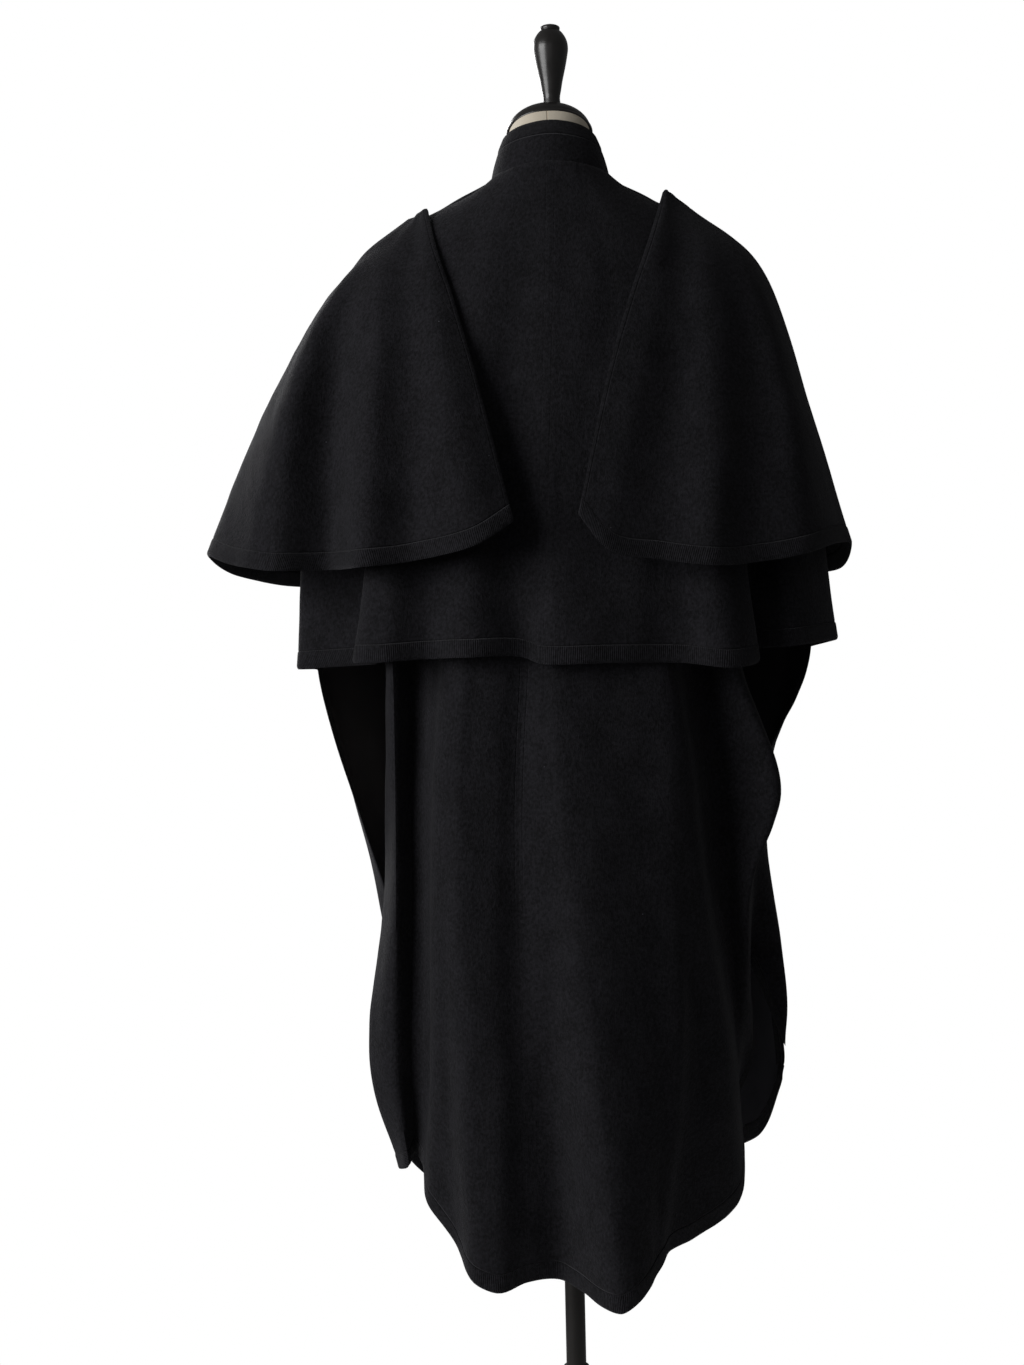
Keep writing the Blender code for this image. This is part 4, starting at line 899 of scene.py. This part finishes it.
def calico_material():
    """Cream calico with its weave, slight soiling and the form's centre seam: a groove in the bump, with
    painted shade darkening the cloth along it.
    """
    material, tree, shader = new_material("cream_calico", (0.72, 0.65, 0.53), 0.85)
    shader.inputs["Specular IOR Level"].default_value = 0.2
    place = node(tree, "ShaderNodeTexCoord").outputs["Object"]
    split = node(tree, "ShaderNodeSeparateXYZ", (("Vector", place),))
    warp = maths(tree, "SINE", maths(tree, "MULTIPLY", split.outputs["X"], 2 * pi / 0.0011))
    weft = maths(tree, "SINE", maths(tree, "MULTIPLY", split.outputs["Z"], 2 * pi / 0.0011))
    weave = maths(tree, "MULTIPLY", warp, weft)
    cloudy = node(tree, "ShaderNodeTexNoise", (("Vector", place), ("Scale", 22.0),
        ("Detail", 4.0))).outputs["Fac"]
    base = node(tree, "ShaderNodeMix", ((0, cloudy), (6, (0.64, 0.56, 0.44, 1.0)),
        (7, (0.80, 0.74, 0.63, 1.0))),
                data_type="RGBA").outputs[2]
    # Centre seam near x = 2.8 mm: a real groove in the bump, plus painted shade along its line
    off = maths(tree, "ABSOLUTE", maths(tree, "SUBTRACT", split.outputs["X"], 0.0028))
    seam = maths(tree, "SUBTRACT", 1.0, maths(tree, "DIVIDE", off, 0.0009), clamp=True)
    # Painted shade: the calico is mixed towards dark brown along the seam line
    shade = node(tree, "ShaderNodeMix", ((0, maths(tree, "MULTIPLY", seam, 0.8)), (6, base),
                                         (7, (0.36, 0.27, 0.17, 1.0))), data_type="RGBA").outputs[2]
    tree.links.new(shade, shader.inputs["Base Color"])
    height = maths(tree, "MULTIPLY_ADD", seam, -6.0, weave)
    bump = node(tree, "ShaderNodeBump", (("Strength", 0.4), ("Distance", 0.0003), ("Height", height)))
    tree.links.new(bump.outputs[0], shader.inputs["Normal"])
    return material


def lacquer_material():
    """Black satin lacquer on turned wood, faintly ringed and rubbed."""
    material, tree, shader = new_material("black_lacquer", (0.010, 0.009, 0.009), 0.3)
    shader.inputs["Coat Weight"].default_value = 0.35
    shader.inputs["Coat Roughness"].default_value = 0.22
    place = node(tree, "ShaderNodeTexCoord").outputs["Object"]
    rings = node(tree, "ShaderNodeMapping", (("Vector", place), ("Scale", (12.0, 12.0, 700.0)))).outputs[0]
    turned = node(tree, "ShaderNodeTexNoise", (("Vector", rings), ("Scale", 1.0),
        ("Detail", 2.0))).outputs["Fac"]
    rubbed = node(tree, "ShaderNodeTexNoise", (("Vector", place), ("Scale", 90.0),
        ("Detail", 4.0))).outputs["Fac"]
    tint = node(tree, "ShaderNodeMix", ((0, rubbed), (6, (0.006, 0.0055, 0.0055, 1.0)),
        (7, (0.020, 0.018, 0.017, 1.0))),
                data_type="RGBA").outputs[2]
    tree.links.new(tint, shader.inputs["Base Color"])
    rough = node(tree, "ShaderNodeMapRange", (("Value", rubbed), ("To Min", 0.24),
        ("To Max", 0.44))).outputs[0]
    tree.links.new(rough, shader.inputs["Roughness"])
    bump = node(tree, "ShaderNodeBump", (("Strength", 0.25), ("Distance", 0.0003), ("Height", turned)))
    tree.links.new(bump.outputs[0], shader.inputs["Normal"])
    return material


def steel_material():
    """Dark satin paint on steel with a fine orange peel."""
    material, tree, shader = new_material("dark_steel", (0.018, 0.016, 0.015), 0.38, 0.35)
    place = node(tree, "ShaderNodeTexCoord").outputs["Object"]
    peel = node(tree, "ShaderNodeTexNoise", (("Vector", place), ("Scale", 600.0),
        ("Detail", 1.0))).outputs["Fac"]
    worn = node(tree, "ShaderNodeTexNoise", (("Vector", place), ("Scale", 24.0),
        ("Detail", 5.0))).outputs["Fac"]
    rough = node(tree, "ShaderNodeMapRange", (("Value", worn), ("To Min", 0.30), ("To Max", 0.50))).outputs[0]
    tree.links.new(rough, shader.inputs["Roughness"])
    bump = node(tree, "ShaderNodeBump", (("Strength", 0.15), ("Distance", 0.0002), ("Height", peel)))
    tree.links.new(bump.outputs[0], shader.inputs["Normal"])
    return material


def horn_material():
    """Polished black horn with smoky streaks."""
    material, tree, shader = new_material("black_horn", (0.012, 0.010, 0.009), 0.22)
    place = node(tree, "ShaderNodeTexCoord").outputs["Object"]
    streak = node(tree, "ShaderNodeTexNoise",
                  (("Vector", place), ("Scale", 160.0), ("Detail", 4.0), ("Distortion", 2.0))).outputs["Fac"]
    tint = node(tree, "ShaderNodeMix", ((0, streak), (6, (0.006, 0.005, 0.005, 1.0)),
        (7, (0.035, 0.026, 0.019, 1.0))),
                data_type="RGBA").outputs[2]
    tree.links.new(tint, shader.inputs["Base Color"])
    return material


# -------------------------------------------------------------------- cloth

def relief_of(name, rib_at, levels, side=1):
    """Crease heights of one piece; a half's ribs count up from its centre seam."""
    return crease_heights(CREASES[name], side * rib_at, levels)


def finished(name, grid, normals, material, out, seam_side=False, lining_from=None):
    """A cloth piece of the coat as a shell on the body."""
    piece = shell("wool_" + name, grid, normals, CLOTH_WALL, material, out, seam_side, lining_from)
    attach(piece, "root")
    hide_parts(name)
    return piece


def shaped(ribs, knots, rows, trees, strength, out, relief_at):
    """The grid of a piece: its ribs, its creases and its clearance from what lies below."""
    grid, rib_at, levels = cloth_grid(ribs, knots, rows)
    fade_in = smooth_step((levels - 0.10) / 0.25)[None, :]
    relief = relief_at(rib_at, levels) + unevenness(grid, strength * MM) * fade_in
    grid = grid + grid_normals(grid) * (out * relief)[..., None]
    grid = push_clear(grid, trees, CLOTH_WALL / 2 + LAYER_CLEARANCE)
    if isinstance(ribs[0], LongRib):
        side = 1 if ribs[0].chest[1] > 0 else -1
        middle = np.abs(grid[:, 0, 0]) > SHOULDER_START[0] * CM
        grid[middle, 0, 1] = side * np.maximum(side * grid[middle, 0, 1], SEAM_GAP / 2)
    return grid, rib_at


def dressed(name, ribs, knots, rows, trees, strength, material, out, lining_from=None):
    """One cloth piece that has no centre seam."""
    grid, _ = shaped(ribs, knots, rows, trees, strength, out,
                     lambda rib_at, levels: relief_of(name, rib_at, levels))
    return finished(name, grid, grid_normals(grid), material, out, lining_from=lining_from)


def dressed_halves(layer, left_ribs, right_ribs, knots, rows, trees, strength, material):
    """The left and right halves of a back, shaped as one surface and parted at the seam."""
    ribs = right_ribs[:0:-1] + left_ribs
    centre_rib = len(right_ribs) - 1

    def relief_at(rib_at, levels):
        return (relief_of(layer + "_left", rib_at - centre_rib, levels)
                + relief_of(layer + "_right", rib_at - centre_rib, levels, -1))

    grid, rib_at = shaped(ribs, knots, rows, trees, strength, -1, relief_at)
    normals = grid_normals(grid)
    seam = int(np.argmin(np.abs(rib_at - centre_rib)))
    left, right = grid[seam:].copy(), grid[seam::-1].copy()
    left[0, :, 0] += SHOWN_SEAM / 2
    right[0, :, 0] -= SHOWN_SEAM / 2
    return (finished(layer + "_left", left, normals[seam:], material, -1, seam_side=True),
            finished(layer + "_right", right, -normals[seam::-1], material, 1, seam_side=True))


def make_collar(material):
    """The stand collar, bowed out a little, with a stitched top edge."""
    seam = np.array([(row.seam_x, row.seam_y, row.seam_z) for row in COLLAR]) * CM
    top = np.array([(row.top_x, row.top_y, row.top_z) for row in COLLAR]) * CM
    flip = np.array([-1.0, 1.0, 1.0])
    seam = np.concatenate([seam[:0:-1] * flip, seam])
    top = np.concatenate([top[:0:-1] * flip, top])
    angles = np.array([row.angle for row in COLLAR], dtype=float)
    angles = np.concatenate([-angles[:0:-1], angles])
    knots = (angles - angles[0]) / (angles[-1] - angles[0])
    samples = np.linspace(0.0, 1.0, 169)
    low, high = spline(knots, seam, samples), spline(knots, top, samples)
    outward = low * np.array([1.0, 1.0, 0.0])
    outward /= np.linalg.norm(outward, axis=1, keepdims=True)
    f = np.linspace(0.0, 1.0, 21)[None, :, None]
    grid = high[:, None] * (1 - f) + low[:, None] * f + outward[:, None] * COLLAR_BOW * 4 * f * (1 - f)
    grid = grid[:, ::-1]
    normals = grid_normals(grid)
    ripple = unevenness(grid, 0.25 * MM)
    grid = grid + normals * ripple[..., None]
    out = -1 if normals[84, 10, 1] < 0 else 1
    piece = shell("wool_collar", grid, grid_normals(grid), COLLAR_WALL, material, out)
    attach(piece, "root")
    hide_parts("collar")
    return piece


# --------------------------------------------------------------------- form

def ring_point(radius_x, radius_y, angle, power):
    s, c = sin(angle), cos(angle)
    return (radius_x * abs(s) ** (2 / power) * (1 if s >= 0 else -1),
            radius_y * abs(c) ** (2 / power) * (1 if c >= 0 else -1))


def make_torso(material):
    """The covered torso, finer than its solid, through the same sections."""
    knots = [section.z for section in TORSO]
    values = np.array([section[1:] for section in TORSO])
    levels = np.concatenate([np.linspace(a, b, 5)[:-1] for a, b in zip(knots, knots[1:])] + [[knots[-1]]])
    vertices, faces = [], []
    for z, (half_width, front, back, tilt) in zip(levels, spline(knots, values, levels)):
        for k in range(TORSO_SIDES):
            angle = 2 * pi * k / TORSO_SIDES
            depth = back if cos(angle) >= 0 else front
            x, y = ring_point(half_width, depth, angle, TORSO_SQUARENESS)
            vertices.append((x * CM, y * CM, (z + tilt * y) * CM))
    for row in range(len(levels) - 1):
        for k in range(TORSO_SIDES):
            n = (k + 1) % TORSO_SIDES
            a, b = row * TORSO_SIDES, (row + 1) * TORSO_SIDES
            faces.append((a + k, b + k, b + n, a + n))
    faces.append(tuple(range(TORSO_SIDES)))
    faces.append(tuple(reversed(range(len(vertices) - TORSO_SIDES, len(vertices)))))
    piece = new_object("torso_cover", vertices, faces, [material])
    piece.data.set_sharp_from_angle(angle=radians(40))
    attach(piece, "root")
    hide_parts("form_torso")
    return piece


def stand_in(piece, node_name):
    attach(piece, "root")
    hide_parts(node_name)
    return piece


def make_cap(material):
    """Domed neck cap with a rolled rim and a fine turned line above it."""
    flat_radius = 0.009
    dome_radius = NECK_CAP_RADIUS - flat_radius - NECK_CAP_CHAMFER
    dome_height = NECK_CAP_DOME - NECK_CAP_RIM
    rim = NECK_CAP_CHAMFER
    profile = [(NECK_CAP_RADIUS - rim + rim * sin(a), rim - rim * cos(a)) for a in np.linspace(0, pi / 2, 6)]
    profile += [(NECK_CAP_RADIUS, NECK_CAP_RIM - 0.0008), (NECK_CAP_RADIUS - 0.0005, NECK_CAP_RIM)]
    profile += [(NECK_CAP_RADIUS - 0.0017, NECK_CAP_RIM + 0.0002),
        (NECK_CAP_RADIUS - 0.0020, NECK_CAP_RIM + 0.0008)]
    for k in range(2, 25):
        angle = pi / 2 * k / 24
        profile.append((flat_radius + dome_radius * cos(angle), NECK_CAP_RIM + dome_height * sin(angle)))
    cap = lathe("neck_cap_turned", profile, 96, material, sharp=50.0)
    turn = Matrix.Translation((0.0, 0.0, NECK_TOP_Z + SEAM_GAP)) @ Matrix.Rotation(NECK_CAP_TILT, 4, "X")
    cap.data.transform(turn)
    return stand_in(cap, "neck_cap")


def make_finial(material):
    """Turned finial: foot, stem, swell and small top bead."""
    heights = np.array([row.z for row in FINIAL]) * CM
    radii = np.array([[row.radius] for row in FINIAL]) * CM
    steps = [np.linspace(low, high, 5)[:-1] for low, high in zip(heights, heights[1:])]
    levels = np.concatenate(steps + [[heights[-1]]])
    profile = [(radius[0], z) for z, radius in zip(levels, spline(heights, radii, levels))]
    profile += [(FINIAL_TIP_RADIUS, FINIAL[-1].z * CM)]
    finial = lathe("finial_turned", profile, 72, material, foot_slope=FINIAL_FOOT_SLOPE, sharp=60.0)
    finial.data.transform(Matrix.Translation((FINIAL_OFFSET, 0.0, 0.0)))
    return stand_in(finial, "finial")


def make_stand(material):
    """Round base with its boss and sleeve, and the pole in it."""
    def rounded(x, z, radius, start, steps=6):
        return [(x + radius * sin(start + pi / 2 * k / steps), z - radius * cos(start + pi / 2 * k / steps))
                for k in range(steps + 1)]

    top = BASE_THICKNESS
    profile = rounded(BASE_RADIUS - BASE_CHAMFER, BASE_CHAMFER, BASE_CHAMFER, 0.0)
    profile += rounded(BASE_RADIUS - BASE_CHAMFER, top - BASE_CHAMFER, BASE_CHAMFER, pi / 2)
    profile += [(BOSS_RADIUS, top + BASE_CHAMFER)]
    for k in range(1, 9):
        f = k / 8
        profile.append((BOSS_RADIUS + (SLEEVE_RADIUS - BOSS_RADIUS) * sin(pi / 2 * f),
                        top + BASE_CHAMFER + (BOSS_HEIGHT - BASE_CHAMFER) * (1 - cos(pi / 2 * f))))
    profile += rounded(SLEEVE_RADIUS - 0.0015, SLEEVE_TOP_Z - 0.0015, 0.0015, pi / 2, 4)
    base = lathe("base_disc", profile, 128, material)
    stand_in(base, "base")
    torso_bottom = TORSO[0].z * CM
    low, high = SLEEVE_TOP_Z + SEAM_GAP, torso_bottom - SEAM_GAP
    pole = lathe("pole_tube", [(POLE_RADIUS, low + (high - low) * k / 12) for k in range(13)], 64, material)
    stand_in(pole, "pole")


def make_button(number, material, thread):
    """A dished horn button sewn on with two crossed threads, where its solid is."""
    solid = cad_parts[f"button_{number}"]
    corners = np.array([vertex.co for vertex in solid.data.vertices])
    centre = corners.mean(axis=0)
    _, _, axes = np.linalg.svd(corners - centre)
    axis = Vector(axes[2])
    if axis.y > 0:
        axis = -axis
    rim = BUTTON_THICKNESS * 0.3
    radius = BUTTON_RADIUS
    profile = [(radius - rim / 2, 0.0), (radius - rim / 8, rim / 5), (radius, rim / 2)]
    profile += [(radius, BUTTON_THICKNESS - rim), (radius - rim * 0.3, BUTTON_THICKNESS - rim * 0.3)]
    profile += [(radius - rim, BUTTON_THICKNESS), (radius - rim * 1.6, BUTTON_THICKNESS * 0.96)]
    profile += [(radius * 0.72, BUTTON_THICKNESS * 0.80), (radius * 0.5, BUTTON_THICKNESS * 0.78)]
    button = lathe(f"horn_button_{number}", profile, 48, material, sharp=50.0)
    button.data.materials.append(thread)
    middle = Vector(centre) - axis * BUTTON_THICKNESS * 0.5
    turn = axis.to_track_quat("Z", "Y").to_matrix().to_4x4()
    button.data.transform(Matrix.Translation(middle) @ turn)
    for k, angle in enumerate((pi / 4, 3 * pi / 4)):
        bar = bpy.data.meshes.new(f"thread_{number}_{k}")
        vertices, faces, sides, rings = [], [], 8, 9
        for r in range(rings):
            along = (r / (rings - 1) - 0.5) * 0.0052
            lift = 0.0006 * cos(pi * (r / (rings - 1) - 0.5))
            for s in range(sides):
                a = 2 * pi * s / sides
                vertices.append((along, 0.0005 * sin(a), BUTTON_THICKNESS * 0.78 + lift + 0.0004 * cos(a)))
        for r in range(rings - 1):
            for s in range(sides):
                n = (s + 1) % sides
                faces.append((r * sides + s, r * sides + n, (r + 1) * sides + n, (r + 1) * sides + s))
        faces.append(tuple(range(sides)))
        faces.append(tuple(reversed(range((rings - 1) * sides, rings * sides))))
        bar.from_pydata(vertices, [], faces)
        bar.materials.append(thread)
        stitch = bpy.data.objects.new(f"button_thread_{number}_{k + 1}", bar)
        bpy.context.collection.objects.link(stitch)
        bar.transform(Matrix.Translation(middle) @ turn @ Matrix.Rotation(angle, 4, "Z"))
        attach(stitch, "root")
    return stand_in(button, f"button_{number}")


# -------------------------------------------------------------------- stage

def make_stage():
    """A small pale floor disc, white surroundings, a soft key light and the camera."""
    paper, tree, shader = new_material("pale_floor", (0.86, 0.86, 0.86), 0.9)
    place = node(tree, "ShaderNodeTexCoord").outputs["Object"]
    grain = node(tree, "ShaderNodeTexNoise", (("Vector", place), ("Scale", 60.0))).outputs["Fac"]
    bump = node(tree, "ShaderNodeBump", (("Strength", 0.05), ("Distance", 0.001), ("Height", grain)))
    tree.links.new(bump.outputs[0], shader.inputs["Normal"])
    floor = lathe("floor_disc", [(0.60, -0.010), (0.62, -0.008), (0.62, -0.002), (0.618, -0.0004)], 128,
        paper)

    world = bpy.data.worlds.new("white_room")
    world.use_nodes = True
    tree = world.node_tree
    background = tree.nodes["Background"]
    background.inputs["Color"].default_value = (1.0, 1.0, 1.0, 1.0)
    seen = node(tree, "ShaderNodeLightPath").outputs["Is Camera Ray"]
    strength = maths(tree, "MULTIPLY_ADD", seen, 1.0 - AMBIENT, AMBIENT)
    tree.links.new(strength, background.inputs["Strength"])
    bpy.context.scene.world = world

    for light in LIGHTS:
        data = bpy.data.lights.new(light.name, "AREA")
        data.energy = light.watts
        data.shape = "RECTANGLE"
        data.size, data.size_y = light.width, light.height
        lamp = bpy.data.objects.new(light.name, data)
        lamp.location = (light.x, light.y, light.z)
        aim = Vector((0.0, 0.0, light.aim_z)) - lamp.location
        lamp.rotation_euler = aim.to_track_quat("-Z", "Y").to_euler()
        bpy.context.collection.objects.link(lamp)

    camera_data = bpy.data.cameras.new("camera")
    camera_data.sensor_fit = "VERTICAL"
    camera_data.sensor_height = 24.0
    camera_data.lens = CAMERA_LENS
    camera = bpy.data.objects.new("camera", camera_data)
    bpy.context.collection.objects.link(camera)
    camera.matrix_world = (Matrix.Translation(CAMERA_PLACE) @ Matrix.Rotation(pi, 4, "Z")
                           @ Matrix.Rotation(pi / 2, 4, "X") @ Matrix.Rotation(CAMERA_ROLL, 4, "Z"))
    bpy.context.scene.camera = camera
    bpy.context.scene.view_settings.view_transform = "Standard"


class Lamp(NamedTuple):
    """A rectangular soft light that points at the form's axis."""
    name: str
    x: float
    y: float
    z: float
    aim_z: float
    width: float
    height: float
    watts: float


LIGHTS = (
    Lamp("key", 2.75, 1.7, 1.75, 0.95, 2.4, 2.0, 88.0),
    Lamp("fill", 0.4, 3.2, 1.9, 0.9, 1.6, 1.6, 1.5),
    Lamp("front", 1.6, -2.7, 1.8, 0.9, 1.4, 2.0, 60.0),
)
AMBIENT = 0.105
CAMERA_PLACE = (0.0524, 2.40, 0.92)
CAMERA_ROLL = radians(-1.265)
CAMERA_LENS = 39.81


# --------------------------------------------------------------------- main

def main():
    wool = wool_material()
    lining = lining_material()
    cloth = [wool, lining]
    torso = make_torso(calico_material())
    lacquer = lacquer_material()
    steel = steel_material()
    horn = horn_material()
    make_cap(lacquer)
    make_finial(lacquer)
    make_stand(steel)
    make_collar([wool])

    under = [tree_of(torso)]
    backs = dressed_halves("back", BACK_LEFT, BACK_RIGHT, LONG_KNOTS, ROWS_LONG, under, 0.8, cloth)
    front_left = dressed("front_left", FRONT_LEFT, LONG_KNOTS, ROWS_LONG, under, 0.8, cloth, 1,
                         lining_from=FACING_WIDTH)
    under_lap = [*under, tree_of(front_left)]
    front_right = dressed("front_right", FRONT_RIGHT, LONG_KNOTS, ROWS_LONG, under_lap, 0.8, cloth, -1,
                          lining_from=FACING_WIDTH)
    under += [tree_of(piece) for piece in (*backs, front_left, front_right)]
    capes = dressed_halves("cape", CAPE_LEFT, CAPE_RIGHT, CAPE_KNOTS, ROWS_CAPE, under, 0.6, cloth)
    under += [tree_of(piece) for piece in capes]
    dressed("wing_left", WING_LEFT, WING_KNOTS, ROWS_WING, under, 0.6, cloth, -1)
    dressed("wing_right", WING_RIGHT, WING_KNOTS, ROWS_WING, under, 0.6, cloth, 1)
    for number in range(1, 5):
        make_button(number, horn, wool)

    make_stage()


class Cut(NamedTuple):
    """The flat size and area that a piece is cut to, before it is hung."""
    piece: str
    width: float
    length: float
    area: float
    held: str


main()
